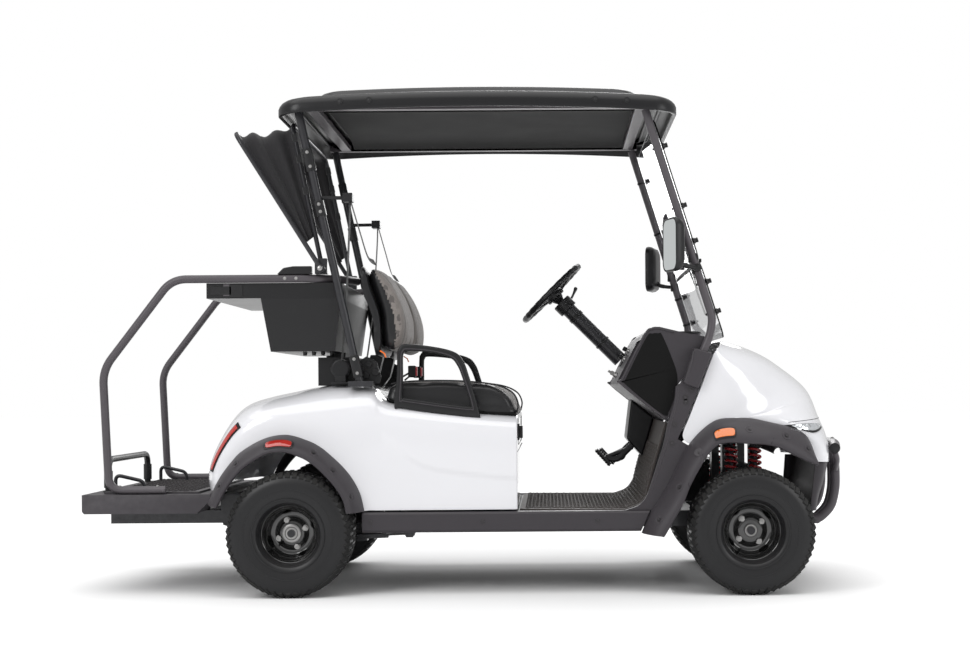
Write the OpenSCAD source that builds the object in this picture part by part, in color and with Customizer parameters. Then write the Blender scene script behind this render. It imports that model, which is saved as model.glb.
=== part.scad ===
// Two-seat electric golf cart with roof, folding windscreen, bag deck and rain cover.
// Millimetres. The nose points along +X, the left side along +Y, and the ground is z = 0.
// Inside the modules X is measured forward from the rear axle; home() shifts the finished
// pieces so that the middle of the cart's length lies at X = 0.

/* [Overall] */
// Distance between the axles
wheelbase = 1680; // [1600:10:1900]
// Distance between the middles of the tyres on one axle
track = 985; // [940:5:1040]
// Height of the underside of the roof's edge, mid length
roof_z = 1779; // [1700:1:1900]
// Half of the roof's width
roof_half = 560; // [520:5:600]
// Half of the width of the body panels
body_half = 500; // [470:5:520]

/* [Wheels] */
// Outer diameter of the tyres
tyre_d = 457; // [430:1:480]
// Width of the tyres
tyre_w = 215; // [180:1:230]
// Radius of the rim's flanges
flange_r = 116; // [112:1:124]
// Width of the rim between its outer flange faces
rim_w = 190; // [160:1:200]
// Radius of the stub that carries each hub
stub_r = 14; // [10:0.5:18]
// Radial running clearance between hub and stub
stub_gap = 0.05; // [0.02:0.01:0.1]

/* [Panels] */
// Wall of the moulded body panels
wall = 6; // [4:0.5:8]
// Wall of the roof
roof_wall = 6; // [4:0.5:9]
// Height of the roof's edge band
roof_band = 62; // [45:1:80]
// Thickness of the windscreen
screen_t = 5; // [4:0.5:8]
// Gap left between pieces that meet
seam = 0.4; // [0.3:0.1:1]

/* [Tubes] */
// Radius of the roof struts
strut_r = 15; // [12:0.5:19]
// Radius of the bag rails
rail_r = 15; // [12:0.5:18]
// Radius of the brush guard's main tube
guard_r = 19; // [14:0.5:22]
// Radius of the cover's hoops
hoop_r = 9; // [7:0.5:12]

/* [Floor and deck] */
// Height of the top of the floor mat
floor_z = 308; // [290:1:330]
// Height of the top of the bag deck's mat
deck_z = 378; // [360:1:400]
// How far the bag deck's rear edge lies behind the rear axle
deck_rear = 784; // [700:1:860]

/* [Seat] */
// Height of the middle of the seat cushion's top
cushion_z = 785; // [760:1:810]
// Half of the width of the seat cushion
cushion_half = 442; // [420:1:444]
// Width of each back cushion
back_w = 420; // [380:1:430]

/* [Cup holders] */
// Radius of the cup holders' bores
cup_r = 38; // [34:0.5:42]
// Depth of the cup holders
cup_depth = 60; // [40:1:75]

/* [Hidden] */
$fn = 48;

front_x = wheelbase + 390;           // foremost face of the brush guard
x_mid = (front_x - deck_rear) / 2;
wheel_z = tyre_d / 2;
wheel_y = track / 2;
rim_in = 96;                         // inside radius of the rim's barrel
king_y = wheel_y - 92.5;             // steering axis of each front wheel
king_h = 62;                         // half height of the kingpin tube
king_r = 17;
arm_l = 110;                         // steering arm, kingpin to tie rod
fx = wheelbase;
rail_z = 226;                        // underside of the frame's main rails
deck_beam_z = 250;                   // underside of the beams below the bag deck

// Colours
white = [0.93, 0.93, 0.94];
charcoal = [0.20, 0.19, 0.21];
black = [0.07, 0.07, 0.08];
steel = [0.62, 0.62, 0.64];
grey_cloth = [0.42, 0.40, 0.38];

// ---------------------------------------------------------------- helpers

module home() { translate([-x_mid, 0, 0]) children(); }

// Both sides of the cart
module both() { children(); mirror([0, 1, 0]) children(); }

// Extrudes an outline given as [x, z] pairs along Y, from y0 to y1
module side_plate(outline, y0, y1) {
    translate([0, y1, 0]) rotate([90, 0, 0]) linear_extrude(y1 - y0) polygon(outline);
}

// Straight round bar between two points
module bar(a, b, r) {
    v = b - a;
    h = norm(v);
    translate(a) rotate([0, acos(v.z / h), atan2(v.y, v.x)]) cylinder(h = h, r = r);
}

// Smooth curve through the points p, at t from 0 to len(p) - 1
function through(p, t) =
    let (n = len(p) - 1, i = min(floor(t), n - 1), f = t - i,
         a = p[max(i - 1, 0)], b = p[i], c = p[i + 1], d = p[min(i + 2, n)])
    0.5 * (2 * b + (c - a) * f + (2 * a - 5 * b + 4 * c - d) * f * f
           + (3 * b - a - 3 * c + d) * f * f * f);

// Corner rounding for a bent tube: each inner point becomes a short arc of n points
function rounded(p, r, n = 4) = [
    for (i = [0:len(p) - 1])
        if (i == 0 || i == len(p) - 1) p[i]
        else let (a = p[i] + unit(p[i - 1] - p[i]) * r, c = p[i] + unit(p[i + 1] - p[i]) * r)
            for (k = [0:n]) let (t = k / n) a * (1 - t) * (1 - t) + p[i] * 2 * t * (1 - t) + c * t * t
];

function unit(v) = v / norm(v);

// Faces of a grid of points with rows x cols, as triangles
function grid_faces(rows, cols, base, flip) = [
    for (i = [0:rows - 2], j = [0:cols - 2])
        let (a = base + i * cols + j, b = a + 1, c = a + cols, d = c + 1)
        each (flip ? [[a, b, c], [b, d, c]] : [[a, c, b], [b, c, d]])
];

// Triangles that join two edges, each a list of point numbers
function strip(e, f) = [
    for (i = [0:len(e) - 2]) each [[e[i], e[i + 1], f[i]], [e[i + 1], f[i + 1], f[i]]]
];

// Surface normal of a grid at row i, column j
function grid_normal(g, i, j) =
    let (r = len(g) - 1, c = len(g[0]) - 1,
         du = g[min(i + 1, r)][j] - g[max(i - 1, 0)][j],
         dv = g[i][min(j + 1, c)] - g[i][max(j - 1, 0)])
    unit(cross(du, dv));

function lifted(g, h) = [
    for (i = [0:len(g) - 1]) [for (j = [0:len(g[0]) - 1]) g[i][j] + h * grid_normal(g, i, j)]
];

// Closed plate between the grid raised by h0 and by h1 along its normals
module skin(g, h0, h1) {
    rows = len(g);
    cols = len(g[0]);
    n = rows * cols;
    low = lifted(g, h0);
    high = lifted(g, h1);
    points = concat([for (r = high) each r], [for (r = low) each r]);
    first = [for (j = [0:cols - 1]) j];
    last = [for (j = [0:cols - 1]) (rows - 1) * cols + j];
    left = [for (i = [0:rows - 1]) i * cols];
    right = [for (i = [0:rows - 1]) i * cols + cols - 1];
    under = function (e) [for (k = e) k + n];
    polyhedron(points, concat(
        grid_faces(rows, cols, 0, true), grid_faces(rows, cols, n, false),
        strip(under(first), first), strip(last, under(last)),
        strip(left, under(left)), strip(under(right), right)), convexity = 8);
}

// Round tube swept along a path; side is a direction that the path never takes
module rod(path, r, side = [0, 1, 0], sides = 12) {
    n = len(path);
    ring = [
        for (i = [0:n - 1])
            let (t = unit(path[min(i + 1, n - 1)] - path[max(i - 1, 0)]),
                 e = unit(side - (side * t) * t), f = cross(t, e))
            for (k = [0:sides - 1])
                path[i] + r * (cos(360 * k / sides) * e + sin(360 * k / sides) * f)
    ];
    walls = [
        for (i = [0:n - 2], k = [0:sides - 1])
            let (a = i * sides + k, b = i * sides + (k + 1) % sides)
            each [[a, b, a + sides], [b, b + sides, a + sides]]
    ];
    mesh_faces = concat([for (w = walls) [w[2], w[1], w[0]]],
                        [[for (k = [0:sides - 1]) k]],
                        [[for (k = [0:sides - 1]) n * sides - 1 - k]]);
    polyhedron(ring, mesh_faces, convexity = 8);
}

// Rounded section: across from -1 to 1, [share of the half width, share of the drop]
function shoulder(across, k) =
    let (a = 90 * across, s = sin(a), c = cos(a), q = pow(pow(abs(s), k) + pow(abs(c), k), 1 / k))
    [s / q, 1 - c / q];

// Loft from a centre line [x, z] to an edge line [x, y, z], at u and v from 0..1 and -1..1
function lofted(line, edge, k, u, v) =
    let (c = through(line, u * (len(line) - 1)), e = through(edge, u * (len(edge) - 1)),
         s = shoulder(v, through([for (q = k) [q]], u * (len(k) - 1))[0]))
    [c.x + (e.x - c.x) * s.y, e.y * s.x, c.y + (e.z - c.y) * s.y];

function loft_grid(line, edge, k, u0, u1, v0, v1, nu, nv) = [
    for (i = [0:nu]) [for (j = [0:nv])
        lofted(line, edge, k, u0 + (u1 - u0) * i / nu, v0 + (v1 - v0) * j / nv)]
];

// Rounded rectangle outline, centred
function rounded_rect(w, h, r, n = 5) = [
    for (q = [0:3], k = [0:n])
        let (a = 90 * q + 90 * k / n, sx = (q == 0 || q == 3) ? 1 : -1, sy = q < 2 ? 1 : -1)
        [sx * (w / 2 - r) + r * cos(a), sy * (h / 2 - r) + r * sin(a)]
];

// ---------------------------------------------------------------- running gear

module chassis_frame() home() color(black) {
    rail_w = 60;
    rail_h = floor_z - 22 - seam - rail_z;
    kick_x = 320;
    kick_back = -306;
    both() {
        translate([kick_x, 230, rail_z]) cube([fx - 200 - kick_x, rail_w, rail_h]);
        translate([kick_back, 230, 300]) cube([kick_x - kick_back + rail_w, rail_w, 60]);
        translate([kick_x, 230, rail_z]) cube([rail_w, rail_w, 134]);
        translate([kick_back, 230, deck_beam_z]) cube([36, rail_w, 110]);
        translate([-deck_rear + 60, 230, deck_beam_z])
            cube([deck_rear - 60 + kick_back + 36, rail_w, deck_z - 79 - seam - deck_beam_z]);
        // front subframe with the feet of the lower arms and the spring towers
        translate([fx - 220, 150, rail_z]) cube([430, 50, rail_h]);
        translate([fx - 60, 150, 150]) cube([120, 50, 80]);
        for (x = [fx - 70, fx + 35]) translate([x, 160, rail_z + 50]) cube([30, 60, 298]);
        translate([fx - 70, 160, 560]) cube([135, 125, 14]);
        translate([900, 280, 240]) cube([60, body_half - 50 - seam - 280, 40]);
    }
    translate([kick_x, -240, rail_z]) cube([60, 480, rail_h]);
    translate([fx - 250, -290, rail_z]) cube([70, 580, rail_h]);
    translate([fx + 150, -160, rail_z]) cube([60, 320, rail_h]);
    translate([-deck_rear + 60, -240, deck_beam_z]) cube([50, 480, deck_z - 79 - seam - deck_beam_z]);
    translate([kick_back, -240, 300]) cube([50, 480, 60]);
    translate([fx - 70, -170, 560]) cube([30, 340, 14]);
    translate([900, -240, 240]) cube([60, 480, 40]);
}

module battery_pack() home() color(charcoal)
    translate([400, -220, floor_z - 8]) cube([360, 440, 290]);

module rear_axle() home() color(black) {
    hub_face = wheel_y - 46;
    translate([0, 0, wheel_z]) rotate([90, 0, 0]) {
        translate([0, 0, -hub_face]) cylinder(h = 2 * hub_face, r = 30);
        translate([0, 0, -110]) cylinder(h = 140, r = 88);
    }
    both() {
        translate([0, hub_face, wheel_z]) rotate([90, 0, 0]) cylinder(h = 46, r = 74);
        translate([0, hub_face, wheel_z]) rotate([-90, 0, 0]) cylinder(h = 76, r = stub_r);
    }
    // motor block ahead of the differential
    translate([60, 30 + seam, wheel_z]) rotate([-90, 0, 0]) cylinder(h = 170, r = 84);
    translate([0, -20, wheel_z - 60]) cube([70, 60, 120]);
}

// Height of a spring leaf's top above the lowest leaf line, at x
function leaf_rise(x) = x < 0 ? (deck_beam_z - seam - leaf_top) * pow(x / eye_r, 2) : 9 * pow(x / eye_f, 2);
eye_f = 409;
eye_r = -300;
leaf_top = wheel_z - 30 - seam;

module leaf_springs() home() color(black) {
    both() {
        for (leaf = [0:2]) {
            xs = [for (k = [0:14]) (eye_r + 80 * leaf) + (eye_f - eye_r - 160 * leaf) * k / 14];
            drop = leaf_top - 8 * leaf;
            side_plate(concat([for (x = xs) [x, drop + leaf_rise(x)]],
                [for (k = [14:-1:0]) [xs[k], drop - 7.6 + leaf_rise(xs[k])]]), 237, 283);
        }
        for (y = [230, 284]) side_plate([[380, rail_z - seam], [440, rail_z - seam],
            [424, 190], [398, 190]], y, y + 6);
        translate([eye_f, 232, leaf_top + 5]) rotate([-90, 0, 0]) cylinder(h = 56, r = 6);
    }
}

module rockers() home() color(charcoal) {
    length = fx - 330 - 258;
    both() difference() {
        translate([258, 0, 0]) rotate([90, 0, 90]) linear_extrude(length)
            polygon([[body_half - 50, 300], [body_half - 50, 236], [body_half - 42, 228],
                     [body_half + 6, 228], [body_half + 16, 238], [body_half + 18, 296],
                     [body_half + 12, 303], [body_half - 34, 303], [body_half - 34, 300]]);
        // mitred against the foot of the front flare
        side_plate([for (p = [[-409, 210], [-368, 304], [-368, 320], [-300, 320], [-300, 210]])
            [fx + p.x, p.y]], body_half - 60, body_half + 40);
    }
}

// Line of the toe board, from the floor up to the dash
toe = [[fx - 455, floor_z - 4], [fx - 402, floor_z + 16], [fx - 382, floor_z + 40],
       [fx - 366, floor_z + 109], [fx - 349, floor_z + 171], [fx - 324, floor_z + 255],
       [fx - 305, floor_z + 318]];
function behind(p, d) = [for (q = p) [q.x + d, q.y - d * 0.6]];

module floor_pan() home() color(black) {
    drop = 8 + seam;
    outline = concat([[390, floor_z - drop]], behind(toe, drop),
        [for (i = [len(toe) - 1:-1:0]) [toe[i].x + drop + 12, toe[i].y - 12]], [[390, floor_z - 22]]);
    side_plate(outline, -(body_half - 54), body_half - 54);
}

module floor_mat() home() color([0.27, 0.24, 0.23]) {
    outline = concat([[834, floor_z]], toe,
        [for (i = [len(toe) - 1:-1:0]) [toe[i].x + 7.5, toe[i].y - 4.5]], [[834, floor_z - 7.6]]);
    side_plate(outline, -(body_half - 54), body_half - 54);
}

// ---------------------------------------------------------------- front body

// Centre line of the hood and nose, from the windscreen down to the bumper
nose_line = [[-80, 934], [14, 911], [105, 872], [182, 821], [237, 779], [271, 743], [290, 706],
             [302, 668], [312, 630], [326, 590], [337, 545], [341, 505], [341, 469]];
// Side edge of the same panel: down the leg, then along the top of the flare
nose_edge = [[-128, 876], [-153, 815], [-178, 749], [-217, 652], [-245, 573], [-205, 547], [-145, 612],
             [-52, 634], [76, 615], [150, 597], [205, 567], [235, 524], [252, 474]];
edge_y = [485, 492, 495, 495, 495, 494, 492, 488, 478, 468, 455, 436, 415];
hood = [for (p = nose_line) [fx + p.x, p.y]];
hood_edge = [for (i = [0:len(nose_edge) - 1])
    [fx + nose_edge[i].x, edge_y[i] + body_half - 500, nose_edge[i].y]];
hood_k = [2.9, 2.9];

module front_cowl() home() color(white)
    skin(loft_grid(hood, hood_edge, hood_k, 0, 1, -1, 1, 26, 26), -wall, 0);

module headlights() home() color([0.85, 0.88, 0.92])
    both() skin(loft_grid(hood, hood_edge, hood_k, 0.685, 0.80, 0.66, 0.86, 6, 6), seam, 11);

module front_bumper() home() color(charcoal) {
    line = [[fx + 338, 468.4], [fx + 322, 400], [fx + 300, 340], [fx + 288, 285]];
    edge = [[fx + 262, 365, 468.4], [fx + 256, 360, 400], [fx + 250, 355, 340], [fx + 246, 350, 285]];
    skin(loft_grid(line, edge, [3.2, 3.2], 0, 1, -1, 1, 8, 16), -wall, 0);
}

module brush_guard() home() color(black) {
    front = front_x - guard_r;
    side = function (y) [
        [fx + 214 + seam, y, 255], [fx + 300, y, 236], [fx + 355, y, 288], [front, y, 360],
        [front, y, 430], [fx + 362, y, 534]];
    both() rod(rounded(side(181), 30), guard_r, [0, 1, 0], 14);
    both() rod(rounded([for (i = [1:5]) side(80)[i]], 30), 11, [0, 1, 0], 10);
    rod([[fx + 300, -190, 236], [fx + 300, 190, 236]], 13, [0, 0, 1]);
    both() rod([[fx + 358, 262, 500], [fx + 368, 240, 470], [front, 186, 428]], 12);
    rod(rounded([[fx + 344, -330, 520], [fx + 362, -240, 534], [fx + 362, 240, 534],
        [fx + 344, 330, 520]], 60), guard_r, [0, 0, 1], 14);
}

// Edges of a flare seen from the side, from its foot at the rocker round to its front end
flare_out = [[-397, 220], [-366, 291], [-329, 343], [-287, 417], [-250, 496], [-219, 545], [-184, 584],
             [-143, 618], [-106, 634], [-52, 637], [7, 635], [76, 620], [150, 602], [188, 586],
             [214, 566], [231, 534], [243, 490]];
flare_in = [[-329, 215], [-319, 228], [-282, 291], [-255, 338], [-229, 401], [-198, 459], [-168, 508],
            [-132, 545], [-100, 555], [-60, 556], [-15, 552], [47, 548], [95, 537], [142, 515],
            [186, 493], [218, 480], [243, 468]];
rear_out = [[-303, 340], [-283, 392], [-255, 442], [-219, 489], [-178, 530], [-97, 574], [-16, 587],
            [61, 565], [105, 542], [142, 512], [186, 470], [222, 424], [250, 368], [264, 306]];
rear_in = [[-262, 330], [-240, 375], [-215, 415], [-185, 453], [-150, 485], [-82, 524], [-16, 533],
           [45, 515], [80, 496], [110, 472], [150, 432], [182, 392], [204, 350], [214, 306]];
flare_bulge = 92;

// Inner side of a flare: it lies against the panel behind it
front_base = [[-400, 501.6], [-206, 501.6], [-196, 495.7], [0, 495.7], [76, 493], [150, 484],
              [205, 470], [243, 455]];
function flare_point(outer, inner, x, base, t, v) =
    let (o = through(outer, t), n = through(inner, t), y = lookup(o.x, base) + body_half - 500 + seam)
    [x + o.x + (n.x - o.x) * v, y + flare_bulge * pow(sin(90 * v), 0.7), o.y + (n.y - o.y) * v];

function flare_grid(outer, inner, x, base, steps) = [
    for (i = [0:steps])
        let (t = i / steps * (len(outer) - 1), lip = flare_point(outer, inner, x, base, t, 1))
        concat([for (v = [0, 0.12, 0.3, 0.6, 0.88, 1]) flare_point(outer, inner, x, base, t, v)],
               [lip - [0, 16, 0]])
];

function flare_patch(outer, inner, x, base, t0, t1, v0, v1) = [
    for (i = [0:6]) [for (j = [0:3])
        flare_point(outer, inner, x, base, t0 + (t1 - t0) * i / 6, v0 + (v1 - v0) * j / 3)]
];

rear_base = [[-400, 498.2], [400, 498.2]];

module front_flares() home() color(charcoal)
    both() skin(flare_grid(flare_out, flare_in, fx, front_base, 34), 0, wall / 2);

module rear_flares() home() color(charcoal)
    both() skin(flare_grid(rear_out, rear_in, 0, rear_base, 28), 0, wall / 2);

module amber_markers() home() color([1, 0.6, 0.1]) both()
    skin(flare_patch(flare_out, flare_in, fx, front_base, 7, 8.9, 0.42, 0.82),
         wall / 2 + seam, wall / 2 + 7);

module red_markers() home() color([0.8, 0.05, 0.05]) both()
    skin(flare_patch(rear_out, rear_in, 0, rear_base, 5.1, 6.4, 0.34, 0.78),
         wall / 2 + seam, wall / 2 + 7);

module front_legs() home() color(charcoal) {
    leg = [[-458, 303.5], [-405, 324], [-376, 362], [-358, 414], [-337, 478], [-315, 547], [-299, 621],
           [-276, 701], [-270, 756], [-244, 775], [-204, 897], [-136, 876], [-187, 749], [-229, 642],
           [-264, 563], [-219, 537], [-246, 494], [-283, 414], [-326, 340], [-351, 303.5]];
    socket = [[-244, 768], [-204, 897], [-136, 878], [-188, 746]];
    both() difference() {
        union() {
            side_plate([for (p = leg) [fx + p.x, p.y]], body_half - 30 + seam, body_half + 1.2);
            side_plate([for (p = socket) [fx + p.x, p.y]], body_half - 30 + seam, body_half + 26);
        }
        bar([fx - 178, body_half - 12, 860], [fx - 148, body_half - 12, 930], strut_r + seam);
    }
}

// ---------------------------------------------------------------- dash and controls

dash_side = [[-305, 632], [-474, 768], [-465, 790], [-384, 950], [-352, 976], [-326, 977], [-236, 955],
             [-150, 938], [-168, 880], [-262, 760], [-282, 660]];
dash_half = body_half - 30;
cup_x = fx - 205;
cup_y = 300;
cup_z = 958;

module dashboard() home() color(charcoal) {
    difference() {
        union() {
            side_plate([for (p = dash_side) [fx + p.x, p.y]], -dash_half, dash_half);
            both() translate([cup_x, cup_y, cup_z - cup_depth]) cylinder(h = cup_depth, r = cup_r + 8);
        }
        // glove pocket on the passenger's side, open towards the seats
        side_plate([for (p = [[-480, 792], [-400, 930], [-320, 930], [-300, 700], [-420, 752]])
            [fx + p.x, p.y]], -(dash_half - 16), -190);
        both() translate([cup_x, cup_y, cup_z - cup_depth]) cylinder(h = 200, r = cup_r);
        side_plate([for (p = [[-440, 770], [-372, 915], [-300, 915], [-290, 700]])
            [fx + p.x, p.y]], -170, 170);
    }
}

// Steering column: from the dash up and back to the wheel
wheel_c = [960, 270, 1152];
column_dir = unit([1233 - 960, 0, 880 - 1152]);
column_tilt = atan2(-column_dir.x, -column_dir.z);
column_l = 401;      // from the wheel's middle to the face of the dash

module steering_column() home() color(black) {
    translate(wheel_c) rotate([0, column_tilt, 0]) {
        translate([0, 0, -55]) cylinder(h = 25 - seam, r = 14);
        translate([0, 0, -100]) cylinder(h = 50, r = 40);
        translate([0, 0, -column_l]) cylinder(h = column_l - 98, r = 31);
    }
}

module column_cover() home() color(charcoal)
    translate([0, 270, 0])
        side_plate([for (p = [[-398, 706.2], [-418, 545], [-354, 472], [-344.6, 500], [-314.6, 600],
                              [-306.8, 632.4]]) [fx + p.x, p.y]], -110, 110);

module pedals() home() color(black)
    for (p = [[200, 0], [330, 22]]) translate([p.y, p.x, 0]) {
        translate([fx - 510, -35, 470]) rotate([0, -42, 0]) translate([-5, 0, -40]) cube([9, 70, 82]);
        bar([fx - 500, 0, 470], [fx - 390.8 - p.y, 0, 509], 9);
    }

module steering_wheel() home() color(black)
    translate(wheel_c) rotate([0, column_tilt, 0]) {
        rotate_extrude($fn = 72) translate([156, 0]) circle(r = 13, $fn = 24);
        translate([0, 0, -30]) cylinder(h = 24, r = 42);
        for (a = [90, 210, 330]) rotate([0, 0, a]) translate([0, -14, -12]) cube([150, 28, 8]);
    }

// ---------------------------------------------------------------- windscreen and roof

pillar_top = [fx - 374, 0, roof_z - 4.1];
pillar_kink = [fx - 132, 0, 1007];

module windshield_struts() home() color(black)
    both() rod(rounded([
        [fx - 172, body_half - 12, 874], [fx - 142, body_half - 12, 944],
        [pillar_kink.x, body_half - 14, pillar_kink.z],
        [pillar_top.x, body_half - 20, pillar_top.z]], 24), strut_r, [0, 1, 0], 14);

screen_lean = atan((pillar_kink.x - pillar_top.x) / (pillar_top.z - pillar_kink.z));
screen_ahead = strut_r / cos(screen_lean) + seam;   // from the struts' axes, along X
split_z = 1218;

module screen(z0, z1, w0) {
    x0 = pillar_kink.x + screen_ahead - (z0 - pillar_kink.z) * tan(screen_lean);
    length = (z1 - z0) / cos(screen_lean);
    translate([x0, 0, z0]) rotate([0, -screen_lean, 0]) translate([0, 0, length / 2])
        rotate([90, 0, 90]) linear_extrude(screen_t) polygon(rounded_rect(w0, length, 40));
}

module windshield_upper() home() color([0.8, 0.85, 0.9, 0.4])
    screen(split_z + 4, roof_z - 40, 2 * body_half - 10);

module windshield_lower() home() color([0.8, 0.85, 0.9, 0.4])
    screen(935, split_z - 4, 2 * body_half - 10);

module mirrors() home() color(black) both() {
    mount = [fx - 189.5, body_half - 16 + strut_r + 14 + seam, 1190];
    translate([fx - 275, body_half + 58, 1270]) rotate([0, 0, 72]) rotate([90, 0, 0])
        translate([0, 0, -22]) linear_extrude(44) polygon(rounded_rect(130, 196, 34));
    bar(mount, [fx - 262, body_half + 50, 1200], 7);
    translate(mount) sphere(r = 14);
}

roof_x0 = -44;
roof_x1 = fx - 258;
roof_mid = (roof_x0 + roof_x1) / 2;
roof_len = roof_x1 - roof_x0;

// Height of the roof band's lower edge along the length
function band_z(x) = let (t = (x - roof_mid) / (roof_len / 2)) roof_z - 24 * t * t;

// Outline points of the roof, and the rings of its top, each [share of size, height over the band]
roof_outline = [
    for (q = [0:3]) let (sx = (q == 0 || q == 3) ? 1 : -1, sy = q < 2 ? 1 : -1, r = 95,
        cx = sx * (roof_len / 2 - r), cy = sy * (roof_half - r))
        each concat([for (k = [0:5]) [cx + r * cos(90 * q + 18 * k), cy + r * sin(90 * q + 18 * k)]],
            [for (k = [1:4]) let (t = k / 5)
                q % 2 == 0 ? [cx * (1 - 2 * t), sy * roof_half] : [sx * roof_len / 2, cy * (1 - 2 * t)]])
];
roof_rings = [[0.02, 104], [0.45, 101], [0.76, 95], [0.80, 90], [0.835, 70], [0.88, 64],
              [0.955, 60], [0.99, 44], [1, 26], [1, 0]];

function roof_grid(drop, inset) = [
    for (ring = roof_rings) [for (p = roof_outline)
        let (x = p.x * (ring[0] - inset / 560), y = p.y * (ring[0] - inset / 560))
        [roof_mid + x, y, band_z(roof_mid + p.x * ring[0]) + max(ring[1] - drop, 0)
            * (roof_band / 62)]]
];

module roof() home() color(black) {
    outer = roof_grid(0, 0);
    inner = roof_grid(roof_wall, roof_wall);
    rows = len(outer);
    cols = len(outer[0]);
    n = rows * cols;
    ring = function (k, i) k * n + i * cols;
    wrap = function (k, flip) [
        for (i = [0:rows - 2], j = [0:cols - 1])
            let (a = ring(k, i) + j, b = ring(k, i) + (j + 1) % cols,
                 c = ring(k, i + 1) + j, d = ring(k, i + 1) + (j + 1) % cols)
            each (flip ? [[a, b, c], [b, d, c]] : [[a, c, b], [b, c, d]])
    ];
    edge = [for (j = [0:cols - 1])
        let (a = ring(0, rows - 1) + j, b = ring(0, rows - 1) + (j + 1) % cols)
        each [[a + n, a, b], [b + n, a + n, b]]];
    cap = [for (j = [0:cols - 1]) each [
        [2 * n, (j + 1) % cols, j], [2 * n + 1, n + j, n + (j + 1) % cols]]];
    crown = [roof_mid, 0, band_z(roof_mid) + roof_rings[0][1] * roof_band / 62];
    polyhedron(concat([for (r = outer) each r], [for (r = inner) each r],
                      [crown, crown - [0, 0, roof_wall]]),
        concat(wrap(0, true), wrap(1, false), edge, cap), convexity = 8);
}

frame_y = body_half - 35;            // inner face of the roof's side rails
frame_x0 = 8;
frame_x1 = fx - 350;
frame_top = band_z(frame_x0) + 49.6;

module roof_frame() home() color(black) {
    both() translate([frame_x0, frame_y, roof_z + 1]) cube([frame_x1 - frame_x0, 34, frame_top - roof_z - 1]);
    for (x = [60, frame_x1 - 60]) translate([x, -frame_y - 1, roof_z + 2])
        cube([40, 2 * frame_y + 2, 22]);
}

strut_top = [30.6, body_half - 20, roof_z - 2.6];
strut_low = [244, body_half - 68, 780];

module rear_struts() home() color(black) both() {
    bar(strut_top, strut_low, strut_r);
    translate([strut_low.x - 40, strut_low.y - 34, 764]) cube([90, 68, 20]);
}

// ---------------------------------------------------------------- rear body and seats

tail_line = [[821, 650], [705, 658], [591, 670], [478, 684], [387, 697], [345, 706], [314, 724],
             [292, 754], [256, 766], [200, 768], [135, 768], [56, 758], [-24, 742], [-106, 725],
             [-187, 700], [-242, 654], [-298, 569], [-335, 488], [-346, 430], [-347, 405], [-346, 384]];
tail_edge = [[821, 310], [740, 310], [640, 310], [520, 310], [440, 310], [390, 310], [350, 310],
             [318, 310], [284, 311], [258, 314], [240, 376], [182, 472], [100, 542], [10, 580],
             [-80, 570], [-150, 530], [-198, 480], [-224, 440], [-238, 412], [-243, 396], [-245, 384]];
tail_y = [495, 497, 498, 498, 498, 498, 498, 498, 498, 498, 498, 498, 498, 498, 498, 496, 492, 486,
          478, 470, 466];
tail_edge3 = [for (i = [0:len(tail_edge) - 1])
    [tail_edge[i].x, tail_y[i] + body_half - 500, tail_edge[i].y]];
tail_k = [12, 12, 11, 8, 6, 4.6, 3.8, 3.2, 2.8];

module rear_body() home() color(white) {
    skin(loft_grid(tail_line, tail_edge3, tail_k, 0, 1, -1, 1, 40, 24), 0, wall);
    translate([821.3, 0, 0]) rotate([90, 0, 90]) linear_extrude(wall)
        polygon([for (j = [0:24]) let (p = lofted(tail_line, tail_edge3, tail_k, 0, -1 + j / 12)) [p.y, p.z]]);
}

module tail_lights() home() color([0.7, 0.05, 0.05])
    both() skin(loft_grid(tail_line, tail_edge3, tail_k, 0.74, 0.86, 0.60, 0.66, 8, 3), -8, -seam);

// Pins that the cushion swings up on
hinge_at = [345, 745];
pin_r = 5;

module seat_cushion() home() color(black) difference() {
    side_plate([[338, 712], [326, 750], [348, 776], [430, cushion_z], [640, cushion_z - 2],
                [740, cushion_z - 14], [800, cushion_z - 44], [828, 700], [824, 653], [705, 658.9],
                [591, 670.9], [478, 684.9], [387, 697.9]], -cushion_half, cushion_half);
    both() translate([hinge_at.x, cushion_half - 20, hinge_at.y]) rotate([-90, 0, 0])
        cylinder(h = 40, r = pin_r + 0.06);
}

module seat_backs() home() color(grey_cloth) both()
    translate([0, 20, 0])
        side_plate([[345, 890], [392, 900], [410, 960], [404, 1030], [370, 1120], [318, 1200],
                    [290, 1222], [268, 1214], [284, 1150], [318, 1040], [328, 950]], 0, back_w);

module seat_back_shell() home() color(black) both() {
    translate([0, 16, 0])
        side_plate([[300, 884], [328, 884], [327.5, 950], [317.5, 1040], [283.5, 1150], [267.5, 1214],
                    [244, 1216], [252, 1140], [286, 1030]], 0, back_w + 8);
    translate([0, 180, 0])
        side_plate([[262, 884.5], [312, 884.5], [290, 806], [262, 768.5], [214, 768.5], [236, 830]], 0, 60);
}

arm_out = [[375, 688.3], [384, 800], [389, 897], [417, 920], [513, 911], [593, 892], [627, 863],
           [649, 807], [691, 657.3], [679, 645.3], [593, 654.3], [480, 669.3]];
arm_in = [[405, 728], [408, 800], [408, 880], [428, 894], [519, 886], [587, 866], [608, 840],
          [624, 800], [657, 694], [643, 688], [560, 700], [440, 718]];

module armrests() home() color(charcoal) both() translate([0, body_half - 47, 0]) {
    difference() {
        side_plate(arm_out, 0, 26);
        side_plate(arm_in, -1, 27);
    }
    // lug and pin of the seat's hinge
    side_plate([[333, 733], [333, 757], [400, 760], [400, 730]], -5.6, 1);
    translate([hinge_at.x, -28, hinge_at.y]) rotate([-90, 0, 0]) cylinder(h = 24, r = pin_r);
}

// ---------------------------------------------------------------- bag carrier

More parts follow.
